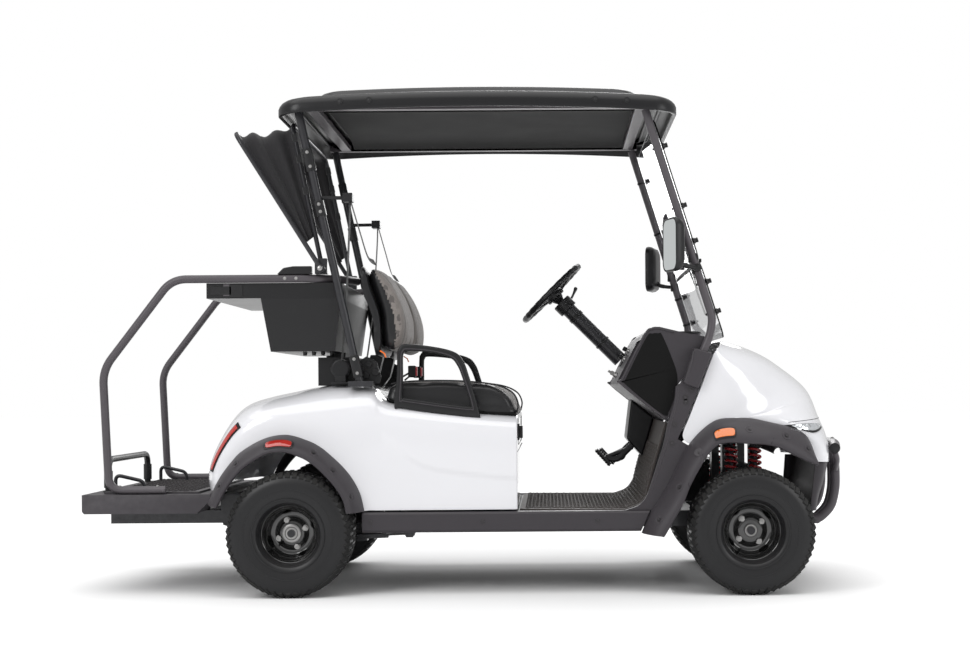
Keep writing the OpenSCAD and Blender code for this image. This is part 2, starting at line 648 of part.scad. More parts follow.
deck_half = 455;
module bag_deck() home() color(charcoal) {
    side_plate([[-deck_rear, deck_z - 8], [-deck_rear, deck_z - 70], [-deck_rear + 8, deck_z - 79],
                [-360, deck_z - 79], [-308, deck_z - 30], [-308, deck_z - 8]], -deck_half, deck_half);
    translate([-deck_rear + 70, 45 - deck_half, deck_z - 8]) cube([deck_rear - 430, 2 * deck_half - 90, 8]);
    // rear hoop that the bags' feet rest against
    rod(rounded([[-deck_rear + 48, -280, deck_z - 9], [-deck_rear + 48, -280, deck_z + 115],
        [-deck_rear + 48, 280, deck_z + 115], [-deck_rear + 48, 280, deck_z - 9]], 50), 12, [1, 0, 0], 12);
}

module bag_rails() home() color(black) both() {
    y = body_half - 70;
    rod(rounded([[-480, y, deck_z - 8 + rail_r + seam], [-690, y, deck_z - 8 + rail_r + seam],
        [-710, y, 832], [-452, y, 1167], [70, y, 1167], [170, y - 60, 1167], [215, y - 180, 1167]],
        55), rail_r, [0.2, 1, 0.1], 14);
}

basket_half = body_half - 75.5;

module basket() home() color(black) {
    difference() {
        union() {
            hull() {
                translate([-92, -400, 897]) cube([240, 800, 2]);
                translate([-123, -basket_half, 1092]) cube([297, 2 * basket_half, 3]);
            }
            translate([-325, -basket_half, 1095]) cube([499, 2 * basket_half, 56.4]);
        }
        hull() {
            translate([-84, -392, 903]) cube([224, 784, 2]);
            translate([-115, 8 - basket_half, 1152]) cube([281, 2 * basket_half - 16, 3]);
        }
        translate([-318, 7 - basket_half, 1101]) cube([180, 2 * basket_half - 14, 60]);
    }
    translate([74, -330, 769]) cube([136, 660, 107]);
    translate([100, -200, 876]) cube([60, 400, 21]);
}

pivot = [107, 0, 1200];
function hoop_path(angle, reach, half) = let (d = [cos(angle), 0, sin(angle)]) [
    pivot + [0, half, 0] + d * 14, pivot + [0, half, 0] + d * reach,
    pivot + [0, -half, 0] + d * reach, pivot + [0, -half, 0] + d * 14];
rear_angle = 122;
front_angle = 101.5;
hoop_half = body_half - 40;

module rear_hoop() home() color(black) {
    d = [cos(rear_angle), 0, sin(rear_angle)];
    rod(rounded(hoop_path(rear_angle, 598, hoop_half), 60), hoop_r, [d.z, 0, -d.x], 10);
    both() translate(pivot + [0, hoop_half - 14, 0]) rotate([-90, 0, 0]) difference() {
        cylinder(h = 28, r = 16);
        translate([0, 0, -1]) cylinder(h = 30, r = 6.06);
    }
}

module front_hoop() home() color(black) {
    d = [cos(front_angle), 0, sin(front_angle)];
    half = hoop_half - 40;
    rod(rounded([for (p = [[1, 40], [1, 556], [-1, 556], [-1, 40]])
        pivot + [0, p[0] * half, 0] + d * p[1]], 60), hoop_r, [d.z, 0, -d.x], 10);
    both() {
        translate(pivot + [0, hoop_half - 34, 0]) rotate([-90, 0, 0]) cylinder(h = 60, r = 6);
        translate(pivot + [-26, hoop_half - 49, rail_r + 1167 + seam - pivot.z]) cube([46, 35 - seam, 58]);
    }
}

module cover_fabric() home() color([0.05, 0.05, 0.06]) {
    inner = hoop_half - 26;
    side_plate([[80, 1284.3], [-9.8, 1727.3], [-100, 1706], [-171, 1663], [68.5, 1279.7]], -inner, inner);
}

// ---------------------------------------------------------------- front axle

shock_low = [0, 300, wheel_z + king_h + 14];
shock_top = [0, 262, 560];
module arm_plate(z, foot) translate([0, 0, z]) linear_extrude(13.5)
    polygon([[fx - 60, foot], [fx + 60, foot], [fx + 18, king_y - 10], [fx + 18, king_y + 18],
             [fx - 18, king_y + 18], [fx - 18, king_y - 10]]);

module front_suspension() home() color(black) both() {
    arm_plate(wheel_z - king_h - 14, 200 + seam);
    arm_plate(wheel_z + king_h + seam, 220 + seam);
    for (x = [-42, 48]) bar(shock_low + [fx + x, 0, 0], shock_top + [fx + x, 0, -3], 9);
}

module coil_springs() home() color([0.75, 0.08, 0.1]) both()
    for (x = [-42, 48]) difference() {
        bar([fx + x, 294, 346], [fx + x, 267, 526], 27);
        bar(shock_low + [fx + x, 0, 0], shock_top + [fx + x, 0, 0], 9 + seam);
    }

// Ball joint of the tie rod, seen from the kingpin
arm_end = [-arm_l, -45, -30];

module knuckle(side) {
    y = side * king_y;
    pin = [fx, y, wheel_z];
    translate([fx, y, wheel_z - king_h]) cylinder(h = 2 * king_h, r = king_r);
    translate(pin) rotate([-90 * side, 0, 0]) cylinder(h = 122, r = stub_r);
    translate(pin) rotate([-90 * side, 0, 0]) cylinder(h = 30, r = 26);
    end = pin + [arm_end.x, side * arm_end.y, arm_end.z];
    bar([fx, y, wheel_z + arm_end.z], end, 5.5);
    translate(end - [0, 0, 6]) cylinder(h = 12, r = 13);
}
module knuckle_left() home() color(black) knuckle(1);
module knuckle_right() home() color(black) knuckle(-1);

module tie_rods() home() color(steel) {
    y = king_y + arm_end.y;
    z = wheel_z + arm_end.z - 6.8;   // top of the ball joints, just below the steering arms
    translate([fx - arm_l, -y, z - 13]) rotate([-90, 0, 0]) cylinder(h = 2 * y, r = 8);
    both() translate([fx - arm_l, y, z - 23]) cylinder(h = 23, r = 12);
}

// ---------------------------------------------------------------- wheels

module tyre() color([0.1, 0.1, 0.1]) rotate([90, 0, 0]) {
    r = tyre_d / 2;
    w = tyre_w / 2;
    rotate_extrude($fn = 96) polygon(concat(
        [[flange_r - 11, -rim_w / 2 + 10], [flange_r - 11, rim_w / 2 - 10]],
        [[flange_r + 1, rim_w / 2 - 10], [flange_r + 1, rim_w / 2 + 4], [flange_r + 20, w - 6],
         [flange_r + 50, w], [r - 34, w - 6], [r - 14, w - 18], [r - 3, w - 36], [r, w - 52],
         [r, -w + 52], [r - 3, -w + 36], [r - 14, -w + 18], [r - 34, -w + 6], [flange_r + 50, -w],
         [flange_r + 20, -w + 6], [flange_r + 1, -rim_w / 2 - 4], [flange_r + 1, -rim_w / 2 + 10]]));
}

// Wheel disc and barrel; its outer side faces -Y
module rim(hub_in) color(black) rotate([90, 0, 0]) {
    w = rim_w / 2;
    rotate_extrude($fn = 96) polygon([
        [stub_r + stub_gap, hub_in], [38, hub_in], [38, 20], [60, 26], [80, 18], [rim_in, 10],
        [rim_in, -w + 4], [flange_r - 2, -w], [flange_r, -w + 3], [flange_r - 2, -w + 6],
        [rim_in + 8, -w + 9], [rim_in + 8, w - 9], [flange_r - 2, w - 6], [flange_r, w - 3],
        [flange_r - 2, w], [rim_in, w - 4], [rim_in, 18], [80, 26], [60, 34], [36, 34], [24, 34],
        [24, 56], [20, 60], [0, 60], [0, 50], [stub_r + stub_gap, 50]]);
}

module wheel_at(x, side) home() translate([x, side * wheel_y, wheel_z])
    mirror([0, side > 0 ? 1 : 0, 0]) children();

module tyre_front_left() wheel_at(fx, 1) tyre();
module tyre_front_right() wheel_at(fx, -1) tyre();
module tyre_rear_left() wheel_at(0, 1) tyre();
module tyre_rear_right() wheel_at(0, -1) tyre();
module rim_front_left() wheel_at(fx, 1) rim(-50);
module rim_front_right() wheel_at(fx, -1) rim(-50);
module rim_rear_left() wheel_at(0, 1) rim(-44);
module rim_rear_right() wheel_at(0, -1) rim(-44);

chassis_frame();
battery_pack();
rear_axle();
leaf_springs();
rockers();
floor_pan();
floor_mat();
front_cowl();
front_flares();
amber_markers();
headlights();
front_bumper();
brush_guard();
dashboard();
steering_column();
column_cover();
pedals();
front_legs();
windshield_struts();
windshield_upper();
windshield_lower();
mirrors();
roof();
roof_frame();
rear_struts();
rear_body();
rear_flares();
red_markers();
tail_lights();
seat_back_shell();
seat_backs();
armrests();
bag_deck();
bag_rails();
basket();
cover_fabric();
front_hoop();
rear_hoop();
seat_cushion();
front_suspension();
coil_springs();
tie_rods();
knuckle_left();
knuckle_right();
steering_wheel();
tyre_front_left();
tyre_front_right();
tyre_rear_left();
tyre_rear_right();
rim_front_left();
rim_front_right();
rim_rear_left();
rim_rear_right();
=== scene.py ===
"""Looks of the golf cart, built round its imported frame.

Sizes below are millimetres, measured from the middle of the rear axle along X and from the ground along Z.
at() turns them into the frame's metres. +X is the nose, +Y the left side, +Z up.
"""
import math
import random

import bmesh
import bpy
from mathutils import Matrix, Vector


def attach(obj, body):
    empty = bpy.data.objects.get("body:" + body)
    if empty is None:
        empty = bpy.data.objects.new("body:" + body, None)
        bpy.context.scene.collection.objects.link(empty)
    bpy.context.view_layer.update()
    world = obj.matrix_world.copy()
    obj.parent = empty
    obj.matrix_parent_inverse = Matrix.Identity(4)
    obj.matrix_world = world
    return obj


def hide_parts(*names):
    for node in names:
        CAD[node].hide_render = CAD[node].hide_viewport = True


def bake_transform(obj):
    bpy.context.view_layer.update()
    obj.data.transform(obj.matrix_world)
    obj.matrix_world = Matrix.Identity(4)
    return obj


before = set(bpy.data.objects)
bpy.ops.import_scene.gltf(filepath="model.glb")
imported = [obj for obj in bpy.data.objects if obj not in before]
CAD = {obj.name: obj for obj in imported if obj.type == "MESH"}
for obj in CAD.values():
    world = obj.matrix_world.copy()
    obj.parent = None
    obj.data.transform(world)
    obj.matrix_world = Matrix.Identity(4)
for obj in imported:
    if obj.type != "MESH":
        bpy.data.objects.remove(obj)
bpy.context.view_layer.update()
SCENE = bpy.context.scene
AXLE_TO_MIDDLE = 643.0
FRONT_AXLE = 1680.0
BODY_HALF = 500.0
WHEEL_Z = 228.5
WHEEL_Y = 492.5
FLOOR_Z = 308.0
DECK_Z = 378.0
DECK_REAR = 784.0
ROOF_Z = 1779.0
WALL = 6.0
SEAM = 0.4


def at(point):
    return ((point[0] - AXLE_TO_MIDDLE) / 1000, point[1] / 1000, point[2] / 1000)


# ------------------------------------------------------------------ shader groups


def new_group(name, inputs, outputs):
    group = bpy.data.node_groups.new(name, "ShaderNodeTree")
    for label, kind, value in inputs:
        socket = group.interface.new_socket(label, in_out="INPUT", socket_type=kind)
        if value is not None:
            socket.default_value = value
    for label, kind in outputs:
        group.interface.new_socket(label, in_out="OUTPUT", socket_type=kind)
    return group, group.nodes.new("NodeGroupInput"), group.nodes.new("NodeGroupOutput")


def link(tree, a, b):
    tree.links.new(a, b)


def maths(tree, op, a, b=None, clamp=False):
    node = tree.nodes.new("ShaderNodeMath")
    node.operation = op
    node.use_clamp = clamp
    for socket, value in zip(node.inputs, (a, b)):
        if value is None:
            continue
        if isinstance(value, (int, float)):
            socket.default_value = value
        else:
            link(tree, value, socket)
    return node.outputs[0]


def mixed(tree, factor, a, b):
    node = tree.nodes.new("ShaderNodeMix")
    node.data_type = "RGBA"
    for socket, value in ((node.inputs[0], factor), (node.inputs[6], a), (node.inputs[7], b)):
        if isinstance(value, (int, float, tuple)):
            socket.default_value = value
        else:
            link(tree, value, socket)
    return node.outputs[2]


def noise(tree, coords, scale, detail=2.0, rough=0.5):
    node = tree.nodes.new("ShaderNodeTexNoise")
    node.inputs["Detail"].default_value = detail
    node.inputs["Roughness"].default_value = rough
    if isinstance(scale, (int, float)):
        node.inputs["Scale"].default_value = scale
    else:
        link(tree, scale, node.inputs["Scale"])
    link(tree, coords, node.inputs["Vector"])
    return node.outputs[0]


def bump(tree, height, strength, distance, normal=None):
    node = tree.nodes.new("ShaderNodeBump")
    for socket, value in ((node.inputs["Strength"], strength), (node.inputs["Distance"], distance)):
        if isinstance(value, (int, float)):
            socket.default_value = value
        else:
            link(tree, value, socket)
    link(tree, height, node.inputs["Height"])
    if normal is not None:
        link(tree, normal, node.inputs["Normal"])
    return node.outputs[0]


def moulded_grain():
    """Leather-like texture of a mould, with a slow change of gloss across the part."""
    group, inside, out = new_group(
        "Moulded grain",
        [("Cells per metre", "NodeSocketFloat", 700.0), ("Depth", "NodeSocketFloat", 0.3),
         ("Roughness", "NodeSocketFloat", 0.45), ("Gloss change", "NodeSocketFloat", 0.08)],
        [("Normal", "NodeSocketVector"), ("Roughness", "NodeSocketFloat")])
    coords = group.nodes.new("ShaderNodeTexCoord").outputs["Object"]
    cells = group.nodes.new("ShaderNodeTexVoronoi")
    cells.feature = "SMOOTH_F1"
    link(group, coords, cells.inputs["Vector"])
    link(group, inside.outputs["Cells per metre"], cells.inputs["Scale"])
    link(group, bump(group, cells.outputs["Distance"], inside.outputs["Depth"], 0.0006),
         out.inputs["Normal"])
    slow = maths(group, "SUBTRACT", noise(group, coords, 7.0, 3.0), 0.5)
    change = maths(group, "MULTIPLY", slow, inside.outputs["Gloss change"])
    link(group, maths(group, "ADD", change, inside.outputs["Roughness"]), out.inputs["Roughness"])
    return group


def settled_dust():
    """Pale dust that lies on faces that look up, broken up by noise."""
    group, inside, out = new_group(
        "Settled dust",
        [("Colour", "NodeSocketColor", (0.05, 0.05, 0.05, 1)),
         ("Dust", "NodeSocketColor", (0.32, 0.30, 0.28, 1)),
         ("Amount", "NodeSocketFloat", 0.15)],
        [("Colour", "NodeSocketColor"), ("Mask", "NodeSocketFloat")])
    coords = group.nodes.new("ShaderNodeTexCoord").outputs["Object"]
    split = group.nodes.new("ShaderNodeSeparateXYZ")
    link(group, group.nodes.new("ShaderNodeNewGeometry").outputs["Normal"], split.inputs[0])
    up = maths(group, "MAXIMUM", split.outputs[2], 0.0)
    patchy = maths(group, "MULTIPLY", noise(group, coords, 9.0, 4.0, 0.6), up)
    mask = maths(group, "MULTIPLY", patchy, inside.outputs["Amount"], clamp=True)
    link(group, mixed(group, mask, inside.outputs["Colour"], inside.outputs["Dust"]), out.inputs["Colour"])
    link(group, mask, out.inputs["Mask"])
    return group


def rubbed_edges():
    """Lighter colour where a convex edge has been rubbed."""
    group, inside, out = new_group(
        "Rubbed edges",
        [("Colour", "NodeSocketColor", (0.05, 0.05, 0.05, 1)),
         ("Rubbed", "NodeSocketColor", (0.2, 0.2, 0.2, 1)),
         ("Amount", "NodeSocketFloat", 0.5)],
        [("Colour", "NodeSocketColor"), ("Mask", "NodeSocketFloat")])
    coords = group.nodes.new("ShaderNodeTexCoord").outputs["Object"]
    sharp = maths(group, "SUBTRACT", group.nodes.new("ShaderNodeNewGeometry").outputs["Pointiness"], 0.53)
    sharp = maths(group, "MULTIPLY", sharp, 9.0, clamp=True)
    broken = maths(group, "MULTIPLY", sharp, noise(group, coords, 40.0, 3.0), clamp=True)
    mask = maths(group, "MULTIPLY", broken, inside.outputs["Amount"], clamp=True)
    link(group, mixed(group, mask, inside.outputs["Colour"], inside.outputs["Rubbed"]),
         out.inputs["Colour"])
    link(group, mask, out.inputs["Mask"])
    return group


def woven_cloth():
    """Plain weave on Object coordinates: two crossing sets of threads."""
    group, inside, out = new_group(
        "Woven cloth",
        [("Threads per metre", "NodeSocketFloat", 900.0), ("Depth", "NodeSocketFloat", 0.5),
         ("Wrinkles", "NodeSocketFloat", 0.2)],
        [("Normal", "NodeSocketVector"), ("Shade", "NodeSocketFloat")])
    coords = group.nodes.new("ShaderNodeTexCoord").outputs["Object"]
    split = group.nodes.new("ShaderNodeSeparateXYZ")
    link(group, coords, split.inputs[0])
    waves = []
    for source in (maths(group, "ADD", split.outputs[0], split.outputs[2]), split.outputs[1]):
        turns = maths(group, "MULTIPLY", source, maths(group, "MULTIPLY",
                                                       inside.outputs["Threads per metre"], 6.2832))
        waves.append(maths(group, "SINE", turns))
    weave = maths(group, "MULTIPLY", waves[0], waves[1])
    weave = maths(group, "ADD", maths(group, "MULTIPLY", weave, 0.5), 0.5)
    # Shade is high on the threads and low between them; cloth() darkens the colour by it as painted shade.
    link(group, weave, out.inputs["Shade"])
    soft = bump(group, noise(group, coords, 26.0, 4.0, 0.6), inside.outputs["Wrinkles"], 0.004)
    link(group, bump(group, weave, inside.outputs["Depth"], 0.0004, soft), out.inputs["Normal"])
    return group


GRAIN = moulded_grain()
DUST = settled_dust()
RUBBED = rubbed_edges()
WEAVE = woven_cloth()


# ------------------------------------------------------------------ finishes


def finish(name, colour, rough, metallic=0.0, grain=None, dust=0.0, rubbed=None, **sockets):
    """A Principled material. grain is (cells per metre, depth); rubbed is (colour, amount)."""
    material = bpy.data.materials.new(name)
    material.use_nodes = True
    tree = material.node_tree
    shader = tree.nodes["Principled BSDF"]
    shader.inputs["Base Color"].default_value = (*colour, 1)
    shader.inputs["Roughness"].default_value = rough
    shader.inputs["Metallic"].default_value = metallic
    for key, value in sockets.items():
        shader.inputs[key.replace("_", " ")].default_value = value
    last = None
    if rubbed:
        node = tree.nodes.new("ShaderNodeGroup")
        node.node_tree = RUBBED
        node.inputs["Colour"].default_value = (*colour, 1)
        node.inputs["Rubbed"].default_value = (*rubbed[0], 1)
        node.inputs["Amount"].default_value = rubbed[1]
        last = node.outputs["Colour"]
    if dust:
        node = tree.nodes.new("ShaderNodeGroup")
        node.node_tree = DUST
        node.inputs["Colour"].default_value = (*colour, 1)
        node.inputs["Amount"].default_value = dust
        if last:
            link(tree, last, node.inputs["Colour"])
        last = node.outputs["Colour"]
    if last:
        link(tree, last, shader.inputs["Base Color"])
    if grain:
        node = tree.nodes.new("ShaderNodeGroup")
        node.node_tree = GRAIN
        node.inputs["Cells per metre"].default_value = grain[0]
        node.inputs["Depth"].default_value = grain[1]
        node.inputs["Roughness"].default_value = rough
        link(tree, node.outputs["Normal"], shader.inputs["Normal"])
        link(tree, node.outputs["Roughness"], shader.inputs["Roughness"])
    return material


def cloth(name, colour, threads, depth, wrinkles, stripes=None, sheen=0.3):
    """Woven cloth. stripes is (second colour, stripes per metre, share of the second colour)
    across the width."""
    material = finish(name, colour, 0.85, Sheen_Weight=sheen, Sheen_Roughness=0.5)
    tree = material.node_tree
    shader = tree.nodes["Principled BSDF"]
    weave = tree.nodes.new("ShaderNodeGroup")
    weave.node_tree = WEAVE
    weave.inputs["Threads per metre"].default_value = threads
    weave.inputs["Depth"].default_value = depth
    weave.inputs["Wrinkles"].default_value = wrinkles
    link(tree, weave.outputs["Normal"], shader.inputs["Normal"])
    base = (*colour, 1)
    if stripes:
        second, pitch, share = stripes
        coords = tree.nodes.new("ShaderNodeTexCoord").outputs["Object"]
        split = tree.nodes.new("ShaderNodeSeparateXYZ")
        link(tree, coords, split.inputs[0])
        wander = maths(tree, "MULTIPLY", maths(tree, "SUBTRACT", noise(tree, coords, 60.0,
                                                                       3.0), 0.5), 0.010)
        across = maths(tree, "MULTIPLY", maths(tree, "ADD", split.outputs[1], wander), pitch)
        line = maths(tree, "FRACT", across)
        mask = maths(tree, "LESS_THAN", line, share)
        base = mixed(tree, mask, base, (*second, 1))
    # Painted shade: the colour darkens to 60 % where the weave is low, between the threads.
    dark = mixed(tree, weave.outputs["Shade"], tuple(c * 0.6 for c in colour) + (1,), base)
    link(tree, dark, shader.inputs["Base Color"])
    return material


M_WHITE = finish("white body", (0.70, 0.70, 0.725), 0.16, grain=(260, 0.01), dust=0.05,
                 Coat_Weight=1.0, Coat_Roughness=0.04)
M_CHARCOAL = finish("charcoal plastic", (0.040, 0.036, 0.041), 0.46, grain=(900, 0.22), dust=0.05,
                    rubbed=((0.12, 0.115, 0.12), 0.5), Specular_IOR_Level=0.28)
M_BLACK = finish("black plastic", (0.012, 0.012, 0.013), 0.34, grain=(1100, 0.18), dust=0.03,
                 rubbed=((0.07, 0.07, 0.07), 0.4), Specular_IOR_Level=0.28)
M_ROOF = finish("roof plastic", (0.010, 0.010, 0.011), 0.30, grain=(650, 0.16), dust=0.04,
                Specular_IOR_Level=0.3)
M_DARK = finish("dark lining", (0.006, 0.006, 0.006), 0.7, grain=(500, 0.1), Specular_IOR_Level=0.12)
M_FRAME = finish("frame powder coat", (0.016, 0.016, 0.019), 0.36, grain=(1500, 0.10), dust=0.04,
                 rubbed=((0.10, 0.10, 0.105), 0.6), Coat_Weight=0.2, Specular_IOR_Level=0.28)
M_GREY_TUBE = finish("grey tube paint", (0.075, 0.068, 0.075), 0.34, grain=(1500, 0.10), dust=0.03,
                     rubbed=((0.2, 0.19, 0.2), 0.4), Specular_IOR_Level=0.28)
M_RIM = finish("rim gloss black", (0.006, 0.006, 0.006), 0.13, grain=(300, 0.01), Coat_Weight=1.0,
               Coat_Roughness=0.05, rubbed=((0.05, 0.05, 0.05), 0.3))
M_TYRE = finish("tyre rubber", (0.011, 0.011, 0.012), 0.36, grain=(420, 0.12), dust=0.06,
                Specular_IOR_Level=0.32)
M_TREAD = finish("tread rubber", (0.014, 0.014, 0.014), 0.62, grain=(700, 0.2), dust=0.08,
                 Specular_IOR_Level=0.2)
M_MAT = finish("ribbed rubber", (0.052, 0.045, 0.042), 0.62, grain=(800, 0.25), dust=0.14,
               Specular_IOR_Level=0.2)
M_DECK = finish("deck rubber", (0.030, 0.027, 0.029), 0.58, grain=(800, 0.25), dust=0.10,
                Specular_IOR_Level=0.2)
M_ZINC = finish("zinc screws", (0.34, 0.335, 0.33), 0.36, 1.0, grain=(900, 0.1))
M_DULL = finish("dull screws", (0.045, 0.042, 0.045), 0.38, 0.6, grain=(900, 0.1))
M_CHROME = finish("bright reflector", (0.86, 0.87, 0.88), 0.08, 1.0, grain=(200, 0.01))
M_MIRROR = finish("mirror glass", (0.80, 0.84, 0.84), 0.03, 1.0, grain=(60, 0.002))
M_RED_SPRING = finish("red spring paint", (0.35, 0.008, 0.012), 0.22, Coat_Weight=0.7, dust=0.05)
# The amber lens is given a faint orange emission: a painted glow, as the marker is not switched on.
M_AMBER = finish("amber lens", (0.72, 0.15, 0.006), 0.14, Coat_Weight=1.0, Transmission_Weight=0.25,
                 Emission_Color=(1.0, 0.28, 0.01, 1), Emission_Strength=0.12)
M_RED_LENS = finish("red lens", (0.50, 0.02, 0.012), 0.14, Coat_Weight=1.0, Transmission_Weight=0.2)
M_CLEAR = finish("clear lens", (0.96, 0.97, 0.98), 0.03, Transmission_Weight=1.0, IOR=1.45)
M_SCREEN = finish("clear acrylic", (0.95, 0.96, 0.97), 0.02, Transmission_Weight=1.0, IOR=1.12)
M_VINYL = finish("seat vinyl", (0.012, 0.012, 0.013), 0.30, grain=(420, 0.35), dust=0.03,
                 Specular_IOR_Level=0.35)
M_BUCKLE = finish("buckle red", (0.45, 0.012, 0.02), 0.28, grain=(900, 0.05))
M_ORANGE = finish("orange tag", (0.85, 0.16, 0.01), 0.5, grain=(900, 0.1))
M_BATTERY = finish("battery case", (0.02, 0.02, 0.022), 0.5, grain=(900, 0.2), dust=0.08)
M_SEAT = cloth("striped seat cloth", (0.23, 0.205, 0.19), 1300.0, 0.5, 0.15,
               ((0.045, 0.04, 0.04), 30.0, 0.26))
M_TOP_CLOTH = cloth("seat top cloth", (0.20, 0.185, 0.175), 1300.0, 0.5, 0.15, None)
M_COVER = cloth("cover nylon", (0.012, 0.011, 0.013), 1700.0, 0.35, 0.45, None, sheen=0.15)
M_WEBBING = cloth("belt webbing", (0.015, 0.015, 0.016), 1500.0, 0.9, 0.05, None)


# ------------------------------------------------------------------ making meshes


class Shape:
    """Vertices and faces of one piece while it is put together, in millimetres."""

    def __init__(self):
        self.points = []
        self.faces = []
        self.tags = []

    def add(self, part, tag=0):
        points, faces = part
        base = len(self.points)
        self.points += [tuple(p) for p in points]
        self.faces += [[i + base for i in face] for face in faces]
        self.tags += [tag] * len(faces)
        return self

    def both(self, part, tag=0):
        """Adds the part and its mirror image on the other side of the cart."""
        points, faces = part
        self.add(part, tag)
        return self.add(([(p[0], -p[1], p[2]) for p in points], [list(reversed(f)) for f in faces]), tag)


def made(name, shape, materials, body="chassis", crease=32.0, replaces=(),
         bevel=None, subdivide=0,
         recalculate=True):
    """The finished piece from a Shape, on its body. bevel is (width in mm, segments)."""
    if not isinstance(shape, Shape):
        shape = Shape().add(shape)
    mesh = bpy.data.meshes.new(name)
    mesh.from_pydata([at(p) for p in shape.points], [], shape.faces)
    materials = materials if isinstance(materials, (list, tuple)) else [materials]
    for material in materials:
        mesh.materials.append(material)
    for polygon, tag in zip(mesh.polygons, shape.tags):
        polygon.material_index = tag
    work = bmesh.new()
    work.from_mesh(mesh)
    bmesh.ops.remove_doubles(work, verts=work.verts, dist=1e-6)
    if recalculate:
        bmesh.ops.recalc_face_normals(work, faces=work.faces)
    work.to_mesh(mesh)
    work.free()
    return dressed(bpy.data.objects.new(name, mesh), body, crease, replaces, bevel, subdivide)


def dressed(piece, body="chassis", crease=32.0, replaces=(), bevel=None, subdivide=0):
    if piece.name not in SCENE.collection.objects:
        SCENE.collection.objects.link(piece)
    mesh = piece.data
    mesh.shade_smooth()
    if crease < 180:
        mesh.set_sharp_from_angle(angle=math.radians(crease))
    if bevel:
        modifier = piece.modifiers.new("Edges", "BEVEL")
        modifier.width = bevel[0] / 1000
        modifier.segments = bevel[1]
        modifier.limit_method = "ANGLE"
        modifier.angle_limit = math.radians(28)
        modifier.harden_normals = True
        modifier.use_clamp_overlap = True
    if subdivide:
        modifier = piece.modifiers.new("Smooth", "SUBSURF")
        modifier.levels = modifier.render_levels = subdivide
    if body:
        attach(piece, body)
    if replaces:
        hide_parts(*replaces)
    return piece


def from_cad(name, node, material, bevel, body="chassis", crease=28.0, stands_for=True):
    """A copy of a CAD node with its facets merged and its edges rounded."""
    mesh = CAD[node].data.copy()
    mesh.name = name
    mesh.materials.clear()
    mesh.materials.append(material)
    work = bmesh.new()
    work.from_mesh(mesh)
    bmesh.ops.remove_doubles(work, verts=work.verts, dist=2e-6)
    bmesh.ops.dissolve_limit(work, angle_limit=math.radians(1.0), verts=work.verts, edges=work.edges)
    for face in work.faces:
        face.material_index = 0
    work.to_mesh(mesh)
    work.free()
    return dressed(bpy.data.objects.new(name, mesh), body, crease,
                   (node,) if stands_for else (), bevel)


def painted(node, material):
    """A CAD node shown as it is, in its finish."""
    piece = CAD[node]
    for slot in piece.material_slots:
        slot.material = material
    if not piece.material_slots:
        piece.data.materials.append(material)
    return piece


def cross(a, b):
    return (a[1] * b[2] - a[2] * b[1], a[2] * b[0] - a[0] * b[2], a[0] * b[1] - a[1] * b[0])


def unit(v):
    length = math.sqrt(sum(c * c for c in v)) or 1.0
    return tuple(c / length for c in v)


def minus(a, b):
    return tuple(p - q for p, q in zip(a, b))


def plus(a, b, k=1.0):
    return tuple(p + q * k for p, q in zip(a, b))


def through(points, t):
    """Smooth curve through the points, at t from 0 to len(points) - 1."""
    last = len(points) - 1
    i = max(0, min(int(math.floor(t)), last - 1))
    f = t - i
    a, b, c, d = points[max(i - 1, 0)], points[i], points[i + 1], points[min(i + 2, last)]
    return tuple(
        0.5 * (2 * q + (r - p) * f + (2 * p - 5 * q + 4 * r - s) * f * f + (3 * q - p - 3 * r + s) * f ** 3)
        for p, q, r, s in zip(a, b, c, d))


def curve(points, steps, closed=False):
    if closed:
        n = len(points)
        ring = [points[-1], *points, points[0], points[1]]
        return [through(ring, 1 + n * i / steps) for i in range(steps)]
    return [through(points, i / steps * (len(points) - 1)) for i in range(steps + 1)]


def rounded(points, radius, n=8):
    """Each inner corner of the path becomes a short arc."""
    out = [tuple(points[0])]
    for before, p, after in zip(points, points[1:], points[2:]):
        a = plus(p, unit(minus(before, p)), radius)
        c = plus(p, unit(minus(after, p)), radius)
        for k in range(n + 1):
            t = k / n
            out.append(tuple(
                x * (1 - t) ** 2 + y * 2 * t * (1 - t) + z * t * t for x, y, z in zip(a, p, c)))
    out.append(tuple(points[-1]))
    return out


def tube(path, radius, sides=20, squash=1.0, closed=False, flat=None):
    """Round tube along a path, with flat end caps when open; radius may be a list. flat is (half width, half
    height).
    """
    count = len(path)
    radii = radius if isinstance(radius, (list, tuple)) else [radius] * count
    points, faces = [], []
    tangents = []
    for i in range(count):
        a = path[(i - 1) % count] if closed or i else path[0]
        b = path[(i + 1) % count] if closed or i < count - 1 else path[-1]
        tangents.append(unit(minus(b, a)))
    guess = (0.0, 1.0, 0.0) if abs(tangents[0][1]) < 0.9 else (1.0, 0.0, 0.0)
    e = guess
    for i, t in enumerate(tangents):
        dot = sum(p * q for p, q in zip(e, t))
        e = unit(plus(e, t, -dot))
        f = cross(t, e)
        for k in range(sides):
            angle = math.tau * k / sides
            c, s = math.cos(angle), math.sin(angle)
            if flat:
                power = 0.35
                c = math.copysign(abs(c) ** power, c) * flat[0]
                s = math.copysign(abs(s) ** power, s) * flat[1]
            else:
                c, s = c * radii[i], s * radii[i] * squash
            points.append(tuple(p + c * u + s * w for p, u, w in zip(path[i], e, f)))
    rings = count if closed else count - 1
    for i in range(rings):
        for k in range(sides):
            a, b = i * sides + k, i * sides + (k + 1) % sides
            c, d = ((i + 1) % count) * sides + (k + 1) % sides, ((i + 1) % count) * sides + k
            faces.append([a, b, c, d])
    if not closed:
        faces.append(list(reversed(range(sides))))
        faces.append([(count - 1) * sides + k for k in range(sides)])
    return points, faces


